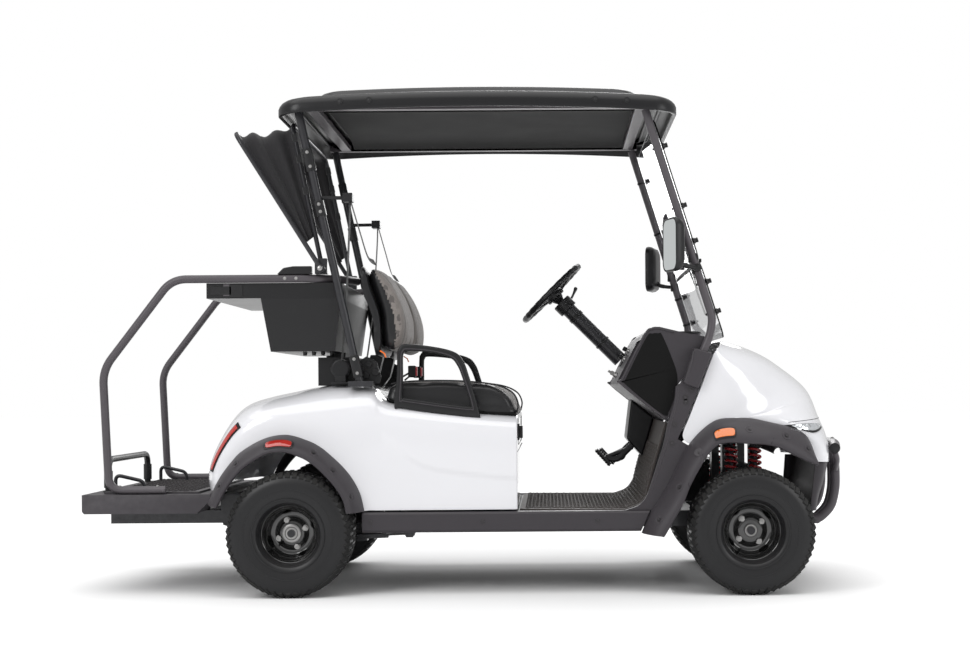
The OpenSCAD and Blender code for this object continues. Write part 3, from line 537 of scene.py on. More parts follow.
def lathe(profile, centre, axis="Y", steps=96, side=1.0):
    """Closed outline of [along the axis, radius] pairs, turned round the axis through centre."""
    points, faces = [], []
    n = len(profile)
    for i in range(steps):
        angle = math.tau * i / steps
        c, s = math.cos(angle), math.sin(angle)
        for along, r in profile:
            along *= side
            p = {"Y": (r * c, along, r * s), "X": (along, r * c, r * s), "Z": (r * c, r * s, along)}[axis]
            points.append(plus(centre, p))
    for i in range(steps):
        for k in range(n):
            a, b = i * n + k, i * n + (k + 1) % n
            c, d = ((i + 1) % steps) * n + (k + 1) % n, ((i + 1) % steps) * n + k
            faces.append([a, b, c, d])
    return points, faces


def turned(part, matrix):
    """The part moved by a 4x4 matrix in millimetres."""
    return [tuple(matrix @ Vector(p)) for p in part[0]], part[1]


def plate(outline, y0, y1):
    """Outline of [x, z] pairs, thick from y0 to y1."""
    n = len(outline)
    points = [(x, y0, z) for x, z in outline] + [(x, y1, z) for x, z in outline]
    faces = [list(range(n)), list(reversed(range(n, 2 * n)))]
    faces += [[i, i + n, (i + 1) % n + n, (i + 1) % n] for i in range(n)]
    return points, faces


def block(lo, hi):
    x0, y0, z0 = lo
    x1, y1, z1 = hi
    return plate([(x0, z0), (x1, z0), (x1, z1), (x0, z1)], y0, y1)


def ring_outline(w, h, r, n=8):
    """Rounded rectangle outline, centred, as pairs."""
    out = []
    for q in range(4):
        sx, sy = (1, -1, -1, 1)[q], (1, 1, -1, -1)[q]
        for k in range(n + 1):
            a = math.radians(90 * q + 90 * k / n)
            out.append((sx * (w / 2 - r) + r * math.cos(a), sy * (h / 2 - r) + r * math.sin(a)))
    return out


def grid_normals(grid):
    rows, cols = len(grid), len(grid[0])
    return [[unit(cross(minus(grid[min(i + 1, rows - 1)][j], grid[max(i - 1, 0)][j]),
                        minus(grid[i][min(j + 1, cols - 1)], grid[i][max(j - 1, 0)])))
             for j in range(cols)] for i in range(rows)]


def lifted(grid, height):
    normals = grid_normals(grid)
    return [[plus(p, n, height) for p, n in zip(row, line)] for row, line in zip(grid, normals)]


def open_grid(grid, flip=False):
    rows, cols = len(grid), len(grid[0])
    points = [p for row in grid for p in row]
    faces = []
    for i in range(rows - 1):
        for j in range(cols - 1):
            a = i * cols + j
            face = [a, a + 1, a + cols + 1, a + cols]
            faces.append(face if not flip else face[::-1])
    return points, faces


def skin(grid, low, high):
    """Closed plate between the grid raised by low and by high along its normals, walled round its rim."""
    rows, cols = len(grid), len(grid[0])
    over, under = lifted(grid, high), lifted(grid, low)
    a_points, a_faces = open_grid(over, True)
    b_points, b_faces = open_grid(under)
    base = len(a_points)
    points = a_points + b_points
    faces = a_faces + [[i + base for i in face] for face in b_faces]
    rim = [(0, j) for j in range(cols)] + [(i, cols - 1) for i in range(1, rows)]
    rim += [(rows - 1, j) for j in range(cols - 2, -1, -1)] + [(i, 0) for i in range(rows - 2, 0, -1)]
    ids = [i * cols + j for i, j in rim]
    n = len(ids)
    faces += [[ids[k], ids[(k + 1) % n], ids[(k + 1) % n] + base, ids[k] + base] for k in range(n)]
    return points, faces


def shoulder(across, k):
    a = math.radians(90 * across)
    s, c = math.sin(a), math.cos(a)
    q = (abs(s) ** k + abs(c) ** k) ** (1 / k)
    return s / q, 1 - c / q


def lofted(line, edge, powers, u, v):
    c = through(line, u * (len(line) - 1))
    e = through(edge, u * (len(edge) - 1))
    s = shoulder(v, through([(q,) for q in powers], u * (len(powers) - 1))[0])
    return (c[0] + (e[0] - c[0]) * s[1], e[1] * s[0], c[1] + (e[2] - c[1]) * s[1])


def loft_grid(line, edge, powers, u0, u1, v0, v1, nu, nv):
    return [[lofted(line, edge, powers, u0 + (u1 - u0) * i / nu, v0 + (v1 - v0) * j / nv)
             for j in range(nv + 1)] for i in range(nu + 1)]


def lookup(x, table):
    if x <= table[0][0]:
        return table[0][1]
    for (x0, y0), (x1, y1) in zip(table, table[1:]):
        if x <= x1:
            return y0 + (y1 - y0) * (x - x0) / (x1 - x0)
    return table[-1][1]


def stacked(rows):
    """Closed surface through rings of equally many points, with both ends filled."""
    n = len(rows[0])
    points = [p for row in rows for p in row]
    faces = [[i * n + k, i * n + (k + 1) % n, (i + 1) * n + (k + 1) % n, (i + 1) * n + k]
             for i in range(len(rows) - 1) for k in range(n)]
    faces += [list(range(n))[::-1], [(len(rows) - 1) * n + k for k in range(n)]]
    return points, faces


# ------------------------------------------------------------------ geometry node trees


def geometry_tree(name, inputs):
    """An empty Geometry Nodes tree with named inputs; returns the tree, its input and output nodes."""
    tree = bpy.data.node_groups.new(name, "GeometryNodeTree")
    tree.interface.new_socket("Geometry", in_out="INPUT", socket_type="NodeSocketGeometry")
    for label, kind, value in inputs:
        socket = tree.interface.new_socket(label, in_out="INPUT", socket_type=kind)
        if value is not None:
            socket.default_value = value
    tree.interface.new_socket("Geometry", in_out="OUTPUT", socket_type="NodeSocketGeometry")
    return tree, tree.nodes.new("NodeGroupInput"), tree.nodes.new("NodeGroupOutput")


def node(tree, kind, inputs=(), **settings):
    """A node with its settings, and its inputs given as (socket name or number, value or output socket)."""
    item = tree.nodes.new(kind)
    for key, value in settings.items():
        setattr(item, key, value)
    for key, value in inputs:
        if isinstance(value, bpy.types.NodeSocket):
            tree.links.new(value, item.inputs[key])
        else:
            item.inputs[key].default_value = value
    return item


def ended(tree, out, geometry, inside):
    real = node(tree, "GeometryNodeRealizeInstances", [("Geometry", geometry)])
    coat = node(tree, "GeometryNodeSetMaterial",
                [("Geometry", real.outputs[0]), ("Material", inside.outputs["Finish"])])
    tree.links.new(coat.outputs[0], out.inputs[0])


def aligned(tree, points, outward, shape, turn=None):
    """Instances of shape on the points, with their Z along the outward vectors."""
    align = node(tree, "FunctionNodeAlignRotationToVector", [("Vector", outward)], axis="Z")
    rotation = align.outputs[0]
    if turn is not None:
        spin = node(tree, "FunctionNodeAxisAngleToRotation", [("Axis", (0, 0, 1)), ("Angle", turn)])
        rotation = node(tree, "FunctionNodeRotateRotation",
                        [("Rotation", rotation), ("Rotate By", spin.outputs[0])],
                        rotation_space="LOCAL").outputs[0]
    placed = node(tree, "GeometryNodeInstanceOnPoints",
                  [("Points", points), ("Instance", shape), ("Rotation", rotation)])
    return placed.outputs[0]


def named_vector(tree, name):
    return node(tree, "GeometryNodeInputNamedAttribute", [("Name", name)],
                data_type="FLOAT_VECTOR").outputs[0]


def screw_tree():
    """Washer, hexagonal head and a small cone on top of it on each point, standing along its own outward
    direction.
    """
    tree, inside, out = geometry_tree("Screws", [
        ("Head radius", "NodeSocketFloat", 0.007), ("Head height", "NodeSocketFloat", 0.004),
        ("Sides", "NodeSocketInt", 6), ("Washer", "NodeSocketFloat", 1.5),
                                                 ("Finish", "NodeSocketMaterial", None)])
    head = node(tree, "GeometryNodeMeshCylinder", [
        ("Vertices", inside.outputs["Sides"]), ("Radius", inside.outputs["Head radius"]),
        ("Depth", inside.outputs["Head height"])])
    half = node(tree, "ShaderNodeMath", [(0, inside.outputs["Head height"]), (1, 0.5)],
                operation="MULTIPLY")
    lift = node(tree, "ShaderNodeCombineXYZ", [("Z", half.outputs[0])])
    raised = node(tree, "GeometryNodeTransform", [("Geometry", head.outputs[0]), ("Translation",
                                                                                  lift.outputs[0])])
    wide = node(tree, "ShaderNodeMath",
                [(0, inside.outputs["Head radius"]), (1, inside.outputs["Washer"])], operation="MULTIPLY")
    washer = node(tree, "GeometryNodeMeshCylinder", [
        ("Vertices", 20), ("Radius", wide.outputs[0]), ("Depth", 0.0016)])
    narrow = node(tree, "ShaderNodeMath", [(0, inside.outputs["Head radius"]), (1, 0.55)],
                  operation="MULTIPLY")
    dome = node(tree, "GeometryNodeMeshCone", [
        ("Vertices", 12), ("Radius Bottom", narrow.outputs[0]), ("Radius Top", 0.0008), ("Depth", 0.0014)])
    up = node(tree, "ShaderNodeCombineXYZ", [("Z", inside.outputs["Head height"])])
    top = node(tree, "GeometryNodeTransform", [("Geometry", dome.outputs[0]), ("Translation",
                                                                               up.outputs[0])])
    join = node(tree, "GeometryNodeJoinGeometry")
    for part in (top, washer, raised):
        tree.links.new(part.outputs[0], join.inputs[0])
    placed = aligned(tree, inside.outputs["Geometry"], named_vector(tree, "outward"), join.outputs[0])
    ended(tree, out, placed, inside)
    return tree


def brick_tree():
    """Raised bars that narrow towards a flat top, on points, turned by each point's own angle: ribs of a
    rubber mat or tread."""
    tree, inside, out = geometry_tree("Raised bars", [
        ("Length", "NodeSocketFloat", 0.022), ("Width", "NodeSocketFloat", 0.007),
        ("Height", "NodeSocketFloat", 0.0022), ("Taper", "NodeSocketFloat", 0.7),
        ("Finish", "NodeSocketMaterial", None)])
    bar = node(tree, "GeometryNodeMeshCone", [
        ("Vertices", 4), ("Radius Bottom", 0.7071), ("Depth", 1.0),
                                              ("Radius Top", inside.outputs["Taper"])])
    square = node(tree, "GeometryNodeTransform",
                  [("Geometry", bar.outputs[0]), ("Rotation", (0, 0, math.pi / 4))])
    size = node(tree, "ShaderNodeCombineXYZ", [
        ("X", inside.outputs["Length"]), ("Y", inside.outputs["Width"]), ("Z", inside.outputs["Height"])])
    sized = node(tree, "GeometryNodeTransform", [("Geometry", square.outputs[0]), ("Scale",
                                                                                   size.outputs[0])])
    turn = node(tree, "GeometryNodeInputNamedAttribute", [("Name", "turn")], data_type="FLOAT").outputs[0]
    placed = aligned(tree, inside.outputs["Geometry"], named_vector(tree, "outward"),
                     sized.outputs[0], turn)
    ended(tree, out, placed, inside)
    return tree


def coil_tree():
    """Coil springs standing on points: a spiral swept with a round wire."""
    tree, inside, out = geometry_tree("Coil springs", [
        ("Radius", "NodeSocketFloat", 0.038), ("Length", "NodeSocketFloat", 0.2),
                                                       ("Turns", "NodeSocketFloat", 7.0),
        ("Wire radius", "NodeSocketFloat", 0.0055), ("Finish", "NodeSocketMaterial", None)])
    spiral = node(tree, "GeometryNodeCurveSpiral", [
        ("Resolution", 22), ("Rotations", inside.outputs["Turns"]),
                                                    ("Start Radius", inside.outputs["Radius"]),
        ("End Radius", inside.outputs["Radius"]), ("Height", inside.outputs["Length"])])
    wire = node(tree, "GeometryNodeCurvePrimitiveCircle",
                [("Resolution", 10), ("Radius", inside.outputs["Wire radius"])])
    swept = node(tree, "GeometryNodeCurveToMesh",
                 [("Curve", spiral.outputs[0]), ("Profile Curve", wire.outputs[0]), ("Fill Caps", True)])
    placed = aligned(tree, inside.outputs["Geometry"], named_vector(tree, "outward"), swept.outputs[0])
    ended(tree, out, placed, inside)
    return tree


def stitch_tree():
    """Short thread stitches set out at an even pitch along the curves made from the input's edges."""
    tree, inside, out = geometry_tree("Stitches", [
        ("Pitch", "NodeSocketFloat", 0.008), ("Stitch", "NodeSocketFloat", 0.005),
        ("Thread radius", "NodeSocketFloat", 0.0007), ("Finish", "NodeSocketMaterial", None)])
    line = node(tree, "GeometryNodeMeshToCurve", [("Mesh", inside.outputs["Geometry"])])
    spots = node(tree, "GeometryNodeCurveToPoints",
                 [("Curve", line.outputs[0]), ("Length", inside.outputs["Pitch"])], mode="LENGTH")
    thread = node(tree, "GeometryNodeMeshCylinder", [
        ("Vertices", 6), ("Radius", inside.outputs["Thread radius"]), ("Depth", inside.outputs["Stitch"])])
    align = node(tree, "FunctionNodeAlignRotationToVector", [("Vector",
                                                              spots.outputs["Tangent"])], axis="Z")
    placed = node(tree, "GeometryNodeInstanceOnPoints", [
        ("Points", spots.outputs["Points"]), ("Instance", thread.outputs[0]),
                                                         ("Rotation", align.outputs[0])])
    ended(tree, out, placed.outputs[0], inside)
    return tree


SCREWS = screw_tree()
BARS = brick_tree()
COILS = coil_tree()
STITCHES = stitch_tree()


def grown(name, tree, spots, material, body, values, edges=(), crease=30.0):
    """Runs a tree on spots, each (point, outward direction[, turn]), and keeps the plain mesh it makes."""
    seed_mesh = bpy.data.meshes.new(name + " spots")
    seed_mesh.from_pydata([at(s[0]) for s in spots], list(edges), [])
    outward = seed_mesh.attributes.new("outward", "FLOAT_VECTOR", "POINT")
    for spot, s in zip(outward.data, spots):
        spot.vector = s[1] if len(s) > 1 else (0, 0, 1)
    turn = seed_mesh.attributes.new("turn", "FLOAT", "POINT")
    for spot, s in zip(turn.data, spots):
        spot.value = s[2] if len(s) > 2 else 0.0
    seed = bpy.data.objects.new(name + " spots", seed_mesh)
    SCENE.collection.objects.link(seed)
    modifier = seed.modifiers.new("Grow", "NODES")
    modifier.node_group = tree
    sockets = {item.name: item.identifier for item in tree.interface.items_tree if item.in_out == "INPUT"}
    for key, value in {**values, "Finish": material}.items():
        modifier[sockets[key]] = value
    bpy.context.view_layer.update()
    graph = bpy.context.evaluated_depsgraph_get()
    mesh = bpy.data.meshes.new_from_object(seed.evaluated_get(graph))
    bpy.data.objects.remove(seed)
    mesh.name = name
    return dressed(bpy.data.objects.new(name, mesh), body, crease, ())


# ------------------------------------------------------------------ body panels

NOSE_LINE = [(-80, 934), (14, 911), (105, 872), (182, 821), (237, 779), (271, 743), (290, 706), (302, 668),
             (312, 630), (326, 590), (337, 545), (341, 505), (341, 469)]
NOSE_EDGE = [(-128, 485, 876), (-153, 492, 815), (-178, 495, 749), (-217, 495, 652), (-245, 495, 573),
             (-205, 494, 547), (-145, 492, 612), (-52, 488, 634), (76, 478, 615), (150, 468, 597),
             (205, 455, 567), (235, 436, 524), (252, 415, 474)]
HOOD = [(FRONT_AXLE + x, z) for x, z in NOSE_LINE]
HOOD_EDGE = [(FRONT_AXLE + x, y, z) for x, y, z in NOSE_EDGE]
HOOD_POWERS = [2.9, 2.9]
TAIL_LINE = [(821, 650), (705, 658), (591, 670), (478, 684), (387, 697), (345, 706), (314, 724), (292, 754),
             (256, 766), (200, 768), (135, 768), (56, 758), (-24, 742), (-106, 725),
             (-187, 700), (-242, 654),
             (-298, 569), (-335, 488), (-346, 430), (-347, 405), (-346, 384)]
TAIL_EDGE = [(821, 495, 310), (740, 497, 310), (640, 498, 310), (520, 498, 310), (440, 498, 310),
             (390, 498, 310), (350, 498, 310), (318, 498, 310), (284, 498, 311), (258, 498, 314),
             (240, 498, 376), (182, 498, 472), (100, 498, 542), (10, 498, 580), (-80, 498, 570),
             (-150, 496, 530), (-198, 492, 480), (-224, 486, 440), (-238, 478, 412), (-243, 470, 396),
             (-245, 466, 384)]
TAIL_POWERS = [12, 12, 11, 8, 6, 4.6, 3.8, 3.2, 2.8]
CREASE = [(290, 655), (313, 624), (364, 569), (420, 516), (479, 480), (546, 463), (649, 450),
          (760, 437), (830, 432)]


def smooth_step(t):
    t = max(0.0, min(1.0, t))
    return t * t * (3 - 2 * t)


def creased(grid):
    """The rear body's sides step in below a line that falls towards the front."""
    out = []
    for row in grid:
        line = []
        for x, y, z in row:
            if x > 290 and abs(y) > 400:
                below = lookup(x, CREASE) - z
                depth = 5.0 * smooth_step(below / 16) * smooth_step((x - 290) / 120)
                y -= math.copysign(depth, y)
            line.append((x, y, z))
        out.append(line)
    return out


def rear_body():
    grid = creased(loft_grid(TAIL_LINE, TAIL_EDGE, TAIL_POWERS, 0, 1, -1, 1, 150, 130))
    for _ in range(10):
        grid = [row if not 1 < i < len(grid) - 2 or not 240 < row[len(row) // 2][0] < 400 else
                [tuple((a + 2 * b + c) / 4 for a, b, c in zip(p, q, r))
                 for p, q, r in zip(grid[i - 1], row, grid[i + 1])] for i, row in enumerate(grid)]
    shape = Shape().add(skin(grid, -WALL, 0))
    rim = lifted(grid, -WALL)[0]
    middle = (821, 0, 480)
    rings = []
    for x, inset in ((820.0, 0.0), (823.5, 0.4), (825.8, 1.6), (827.0, 3.4), (827.3, 5.6)):
        ring = []
        for p in rim:
            flat = (0, p[1] - middle[1], p[2] - middle[2])
            size = math.sqrt(flat[1] ** 2 + flat[2] ** 2)
            k = 1 - inset / size
            ring.append((x, flat[1] * k, middle[2] + flat[2] * k))
        rings.append(ring)
    n = len(rim)
    points = [p for ring in rings for p in ring]
    faces = [[i * n + j, i * n + (j + 1) % n, (i + 1) * n + (j + 1) % n, (i + 1) * n + j]
             for i in range(len(rings) - 1) for j in range(n)]
    faces += [list(range(n)), [(len(rings) - 1) * n + j for j in range(n)][::-1]]
    shape.add((points, faces))
    made("rear_body_panel", shape, M_WHITE, replaces=("rear_body",), crease=40)


def front_cowl():
    grid = loft_grid(HOOD, HOOD_EDGE, HOOD_POWERS, 0, 1, -1, 1, 130, 120)
    shape = Shape().add(skin(grid, -WALL, 0))
    made("hood_panel", shape, M_WHITE, replaces=("front_cowl",), crease=40)
    seams = Shape()
    for u, v0, v1 in ((0.655, -0.80, 0.80),):
        path = [plus(lofted(HOOD, HOOD_EDGE, HOOD_POWERS, u + 0.012 * abs(v0 + (v1 - v0) * i / 60) ** 3,
                            v0 + (v1 - v0) * i / 60), (0, 0, 0)) for i in range(61)]
        seams.add(tube(path, 1.1, 8))
    made("hood_seam", seams, M_DARK)
    vents = Shape()
    for u in (0.60, 0.625):
        for side in (-1, 1):
            path = [lofted(HOOD, HOOD_EDGE, HOOD_POWERS, u,
                           side * (0.05 + 0.17 * i / 12)) for i in range(13)]
            vents.add(tube(path, [1.0 + 1.6 * math.sin(math.pi * i / 12) for i in range(13)], 8))
    made("hood_vents", vents, M_CHARCOAL)


def lamp_patch(u_edge, raise_low, raise_high, count=18):
    """Patch of the nose between a lower and an upper edge of (u, v) points, as a closed plate."""
    low, high = u_edge
    grid = []
    for i in range(count + 1):
        a, b = through(low, i / count * (len(low) - 1)), through(high, i / count * (len(high) - 1))
        grid.append([lofted(HOOD, HOOD_EDGE, HOOD_POWERS, a[0] + (b[0] - a[0]) * j / 8,
                            a[1] + (b[1] - a[1]) * j / 8)
                     for j in range(9)])
    return skin(grid, raise_low, raise_high)


def headlights():
    outer = ([(0.735, 0.50), (0.765, 0.62), (0.780, 0.74), (0.765, 0.84), (0.715, 0.915)],
             [(0.700, 0.50), (0.693, 0.62), (0.690, 0.74), (0.688, 0.84), (0.690, 0.915)])
    inner = ([(0.730, 0.54), (0.752, 0.63), (0.765, 0.73), (0.750, 0.81), (0.722, 0.86)],
             [(0.706, 0.54), (0.701, 0.63), (0.698, 0.73), (0.697, 0.81), (0.698, 0.86)])
    made("headlight_housing", Shape().both(lamp_patch(outer, 0.2, 4.5)), M_BLACK, replaces=("headlights",),
         bevel=(1.2, 2))
    made("headlight_reflector", Shape().both(lamp_patch(inner, 4.6, 6.0)), M_CHROME)
    made("headlight_lens", Shape().both(lamp_patch(inner, 6.6, 9.0)), M_CLEAR,
         crease=60)
    eyes = Shape()
    for u, v in ((0.722, 0.60), (0.728, 0.72), (0.722, 0.81)):
        p = lofted(HOOD, HOOD_EDGE, HOOD_POWERS, u, v)
        q = lofted(HOOD, HOOD_EDGE, HOOD_POWERS, u + 0.01, v)
        r = lofted(HOOD, HOOD_EDGE, HOOD_POWERS, u, v + 0.01)
        out = unit(cross(minus(r, p), minus(q, p)))
        if out[0] < 0:
            out = tuple(-c for c in out)
        eyes.both(tube([plus(p, out, 5.0), plus(p, out, 6.0), plus(p, out, 6.4)], [12, 10, 5], 24))
    made("headlight_bulbs", eyes, M_CHROME)


def front_bumper():
    line = [(FRONT_AXLE + 338, 468.4), (FRONT_AXLE + 322, 400), (FRONT_AXLE + 300, 340),
            (FRONT_AXLE + 288, 285)]
    edge = [(FRONT_AXLE + 262, 365, 468.4), (FRONT_AXLE + 256, 360, 400), (FRONT_AXLE + 250, 355, 340),
            (FRONT_AXLE + 246, 350, 285)]
    shape = Shape().add(skin(loft_grid(line, edge, [3.2, 3.2], 0, 1, -1, 1, 30, 60), -WALL, 0))
    made("front_bumper_skin", shape, M_CHARCOAL, replaces=("front_bumper",),
         bevel=(1.5, 2))
    slats = Shape()
    for k in range(5):
        u = 0.12 + 0.13 * k
        path = [lofted(line, edge, [3.2, 3.2], u, -0.42 + 0.84 * i / 30) for i in range(31)]
        slats.add(tube([plus(p, (1, 0, 0), 0.5) for p in path], 3.0, 8))
    made("bumper_grille", slats, M_DARK)


FLARE_OUT = [(-397, 220), (-366, 291), (-329, 343), (-287, 417), (-250, 496), (-219, 545), (-184, 584),
             (-143, 618), (-106, 634), (-52, 637), (7, 635), (76, 620), (150, 602), (188, 586), (214, 566),
             (231, 534), (243, 490)]
FLARE_IN = [(-329, 215), (-319, 228), (-282, 291), (-255, 338), (-229, 401), (-198, 459), (-168, 508),
            (-132, 545), (-100, 555), (-60, 556), (-15, 552), (47, 548), (95, 537), (142, 515), (186, 493),
            (218, 480), (243, 468)]
REAR_OUT = [(-303, 340), (-283, 392), (-255, 442), (-219, 489), (-178, 530), (-97, 574),
            (-16, 587), (61, 565),
            (105, 542), (142, 512), (186, 470), (222, 424), (250, 368), (264, 306)]
REAR_IN = [(-262, 330), (-240, 375), (-215, 415), (-185, 453), (-150, 485), (-82, 524),
           (-16, 533), (45, 515),
           (80, 496), (110, 472), (150, 432), (182, 392), (204, 350), (214, 306)]
FRONT_BASE = [(-400, 501.6), (-206, 501.6), (-196, 495.7), (0, 495.7), (76, 493), (150, 484), (205, 470),
              (243, 455)]
REAR_BASE = [(-400, 498.2), (400, 498.2)]
FLARE_BULGE = 92.0


def flare_point(outer, inner, x, base, t, v):
    o, n = through(outer, t), through(inner, t)
    y = lookup(o[0], base) + SEAM
    return (x + o[0] + (n[0] - o[0]) * v, y + FLARE_BULGE * math.sin(math.radians(90 * max(v, 0))) ** 0.7,
            o[1] + (n[1] - o[1]) * v)


def flare(outer, inner, x, base, steps):
    grid = []
    across = [0, 0.015, 0.04, 0.08, 0.14, 0.22, 0.32, 0.44, 0.56, 0.68, 0.79, 0.88, 0.94, 0.975, 1]
    for i in range(steps + 1):
        t = i / steps * (len(outer) - 1)
        row = [flare_point(outer, inner, x, base, t, v) for v in across]
        lip = row[-1]
        middle = flare_point(outer, inner, x, base, t, 0.5)
        back = unit((lip[0] - middle[0], 0, lip[2] - middle[2]))
        row += [plus(plus(lip, (0, -1, 0), d), back, e) for d, e in ((2, 1.6), (5, 2.4), (16, 2.6))]
        grid.append(row)
    return skin(grid, 0, 3)


def flare_patch(outer, inner, x, base, t0, t1, v0, v1, low, high, narrow=0.0):
    """Rounded lozenge on a flare, between two places along it and across it."""
    grid = []
    for i in range(25):
        s = i / 24
        end = 1 - abs(2 * s - 1) ** 6
        half = (v1 - v0) / 2 * (1 - narrow + narrow * end ** 0.5 if end > 0 else 1 - narrow)
        mid = (v0 + v1) / 2
        grid.append([flare_point(outer, inner, x, base, t0 + (t1 - t0) * s, mid + half * (2 * j / 8 - 1))
                     for j in range(9)])
    return skin(grid, low, high)


def flares():
    made("front_flare_skins", Shape().both(flare(FLARE_OUT, FLARE_IN, FRONT_AXLE, FRONT_BASE,
                                                 150)), M_CHARCOAL,
         replaces=("front_flares",), crease=50)
    made("rear_flare_skins", Shape().both(flare(REAR_OUT, REAR_IN, 0, REAR_BASE, 130)), M_CHARCOAL,
         replaces=("rear_flares",), crease=50)
    front = (FLARE_OUT, FLARE_IN, FRONT_AXLE, FRONT_BASE)
    rear = (REAR_OUT, REAR_IN, 0, REAR_BASE)
    bezel = Shape().both(flare_patch(*front, 6.9, 9.0, 0.38, 0.86, 3.1, 5.5, 0.55))
    bezel.both(flare_patch(*rear, 5.0, 6.5, 0.30, 0.82, 3.1, 5.0, 0.55))
    made("marker_bezels", bezel, M_BLACK, bevel=(0.8, 2))
    # The amber lenses carry the faint painted glow of their finish.
    made("amber_marker_lenses", Shape().both(flare_patch(*front, 7.05, 8.85, 0.46, 0.78, 5.0, 8.4,
                                                         0.45)), M_AMBER,
         replaces=("amber_markers",), bevel=(1.2, 3))
    made("red_marker_lenses", Shape().both(flare_patch(*rear, 5.12, 6.38, 0.38, 0.74, 4.6, 8.0,
                                                       0.45)), M_RED_LENS,
         replaces=("red_markers",), bevel=(1.2, 3))
    seam = Shape()
    for t in (3.9, 11.35):
        seam.both(tube([plus(flare_point(*front, t, v), (0, 2.6, 0)) for v in (0.0, 0.1, 0.3, 0.5,
                                                                               0.7, 0.9, 1.0)],
                       1.0, 8))
    made("flare_seams", seam, M_DARK)
    cups, spots = Shape(), []
    for table, places in ((front, ((1.2, 0.45), (3.2, 0.5), (5.4, 0.55), (9.9, 0.45), (12.0,
                                                                                       0.45), (14.2, 0.5))),
                          (rear, ((1.5, 0.5), (3.4, 0.5), (7.9, 0.45), (9.8, 0.5), (11.9, 0.5)))):
        for t, v in places:
            p = flare_point(*table, t, v)
            q, r = flare_point(*table, t + 0.05, v), flare_point(*table, t, v + 0.05)
            out = unit(cross(minus(q, p), minus(r, p)))
            if out[1] < 0:
                out = tuple(-c for c in out)
            start = plus(p, out, 2.4)
            profile = [(0, 17), (1.0, 16.5), (1.4, 14.5), (0.6, 12.0), (0.2, 0.01), (-1, 0.01), (-1, 17)]
            part = lathe(profile, (0, 0, 0), "Z", 28)
            turn = Vector((0, 0, 1)).rotation_difference(Vector(out)).to_matrix().to_4x4()
            cups.both(turned(turned(part, turn), Matrix.Translation(Vector(start))))
            for sy in (1, -1):
                spots.append(((start[0], sy * start[1], start[2]), (out[0], sy * out[1], out[2])))
    made("flare_screw_cups", cups, M_CHARCOAL, crease=50)
    grown("flare_screws", SCREWS, spots, M_DULL, "chassis",
          {"Head radius": 0.0058, "Head height": 0.0028, "Sides": 6, "Washer": 1.5})


def legs():
    leg = [(-458, 303.5), (-405, 324), (-376, 362), (-358, 414), (-337, 478), (-315, 547), (-299, 621),
           (-276, 701), (-270, 756), (-244, 775), (-204, 897), (-136, 876), (-187, 749), (-229, 642),
           (-264, 563), (-219, 537), (-246, 494), (-283, 414), (-326, 340), (-351, 303.5)]
    back = curve([(x, z) for x, z in leg[:9]], 48)
    outline = [(FRONT_AXLE + x, z) for x, z in back + leg[9:]]
    shape = Shape().both(plate(outline, BODY_HALF - 30 + SEAM, BODY_HALF + 1.2))
    made("leg_panels", shape, M_CHARCOAL, replaces=("front_legs",), bevel=(4.0, 4))
    socket = [(-244, 768), (-204, 897), (-136, 878), (-188, 746)]
    sockets = Shape().both(plate([(FRONT_AXLE + x, z) for x, z in socket], BODY_HALF - 28, BODY_HALF + 24))
    made("strut_sockets", sockets, M_CHARCOAL, bevel=(7, 5))
    ribs = Shape()
    ribs.both(tube([(FRONT_AXLE + x, BODY_HALF + 24, z) for x,
                    z in ((-207, 884), (-212, 850), (-228, 790))],
                   [3, 3, 1.5], 10))
    edge = curve([(FRONT_AXLE + x + 12, BODY_HALF + 0.4, z) for x, z in leg[2:9]], 40)
    ribs.both(tube(edge, 2.0, 8))
    made("leg_ribs", ribs, M_CHARCOAL)
    spots = []
    for x, z in ((1467, 742), (1444, 716), (1404, 617), (1395, 548), (1447, 700)):
        for side in (1, -1):
            spots.append(((x, side * (BODY_HALF + 1.4), z), (0, side, 0)))
    grown("leg_screws", SCREWS, spots, M_DULL, "chassis",
          {"Head radius": 0.0065, "Head height": 0.003, "Sides": 6, "Washer": 1.7})


def rockers():
    from_cad("rocker_panels", "rockers", M_CHARCOAL, (3.0, 3))
    spots = [((x, side * (BODY_HALF + 16.5), 268), (0, side, 0)) for x in (290, 700,
                                                                           1120) for side in (1, -1)]
    grown("rocker_screws", SCREWS, spots, M_DULL, "chassis",
          {"Head radius": 0.0065, "Head height": 0.003, "Sides": 6, "Washer": 1.5})


# ------------------------------------------------------------------ floor and deck


def floor():
    for name, material in (("floor_mat", M_MAT), ("floor_pan", M_BLACK)):
        from_cad(name + "_sheet", name, material, (1.2, 2))
    toe = [(-455, -4), (-402, 16), (-382, 40), (-366, 109), (-349, 171), (-324, 255), (-305, 318)]
    line = [(850.0, FLOOR_Z)] + [(FRONT_AXLE + x, FLOOR_Z + z) for x, z in toe]
    spots = []
    pitch = 23.0
    run, done = 12.0, 0.0
    rows = []
    for (x0, z0), (x1, z1) in zip(line, line[1:]):
        length = math.hypot(x1 - x0, z1 - z0)
        while run < done + length - 4:
            k = (run - done) / length
            rows.append((x0 + (x1 - x0) * k, z0 + (z1 - z0) * k, -(z1 - z0) / length, (x1 - x0) / length))
            run += pitch * 0.62
        done += length
    for i, (x, z, nx, nz) in enumerate(rows[:-6]):
        count = 37
        for j in range(count):
            y = (j - (count - 1) / 2) * pitch + (pitch / 2 if i % 2 else 0)
            if abs(y) < 424:
                spots.append(((x + nx * 0.8, y, z + nz * 0.8), (nx, 0, nz),
                              0.0 if (i + j) % 2 else math.pi / 2))
    grown("floor_mat_ribs", BARS, spots, M_MAT, "chassis",
          {"Length": 0.017, "Width": 0.0075, "Height": 0.0026, "Taper": 0.5})


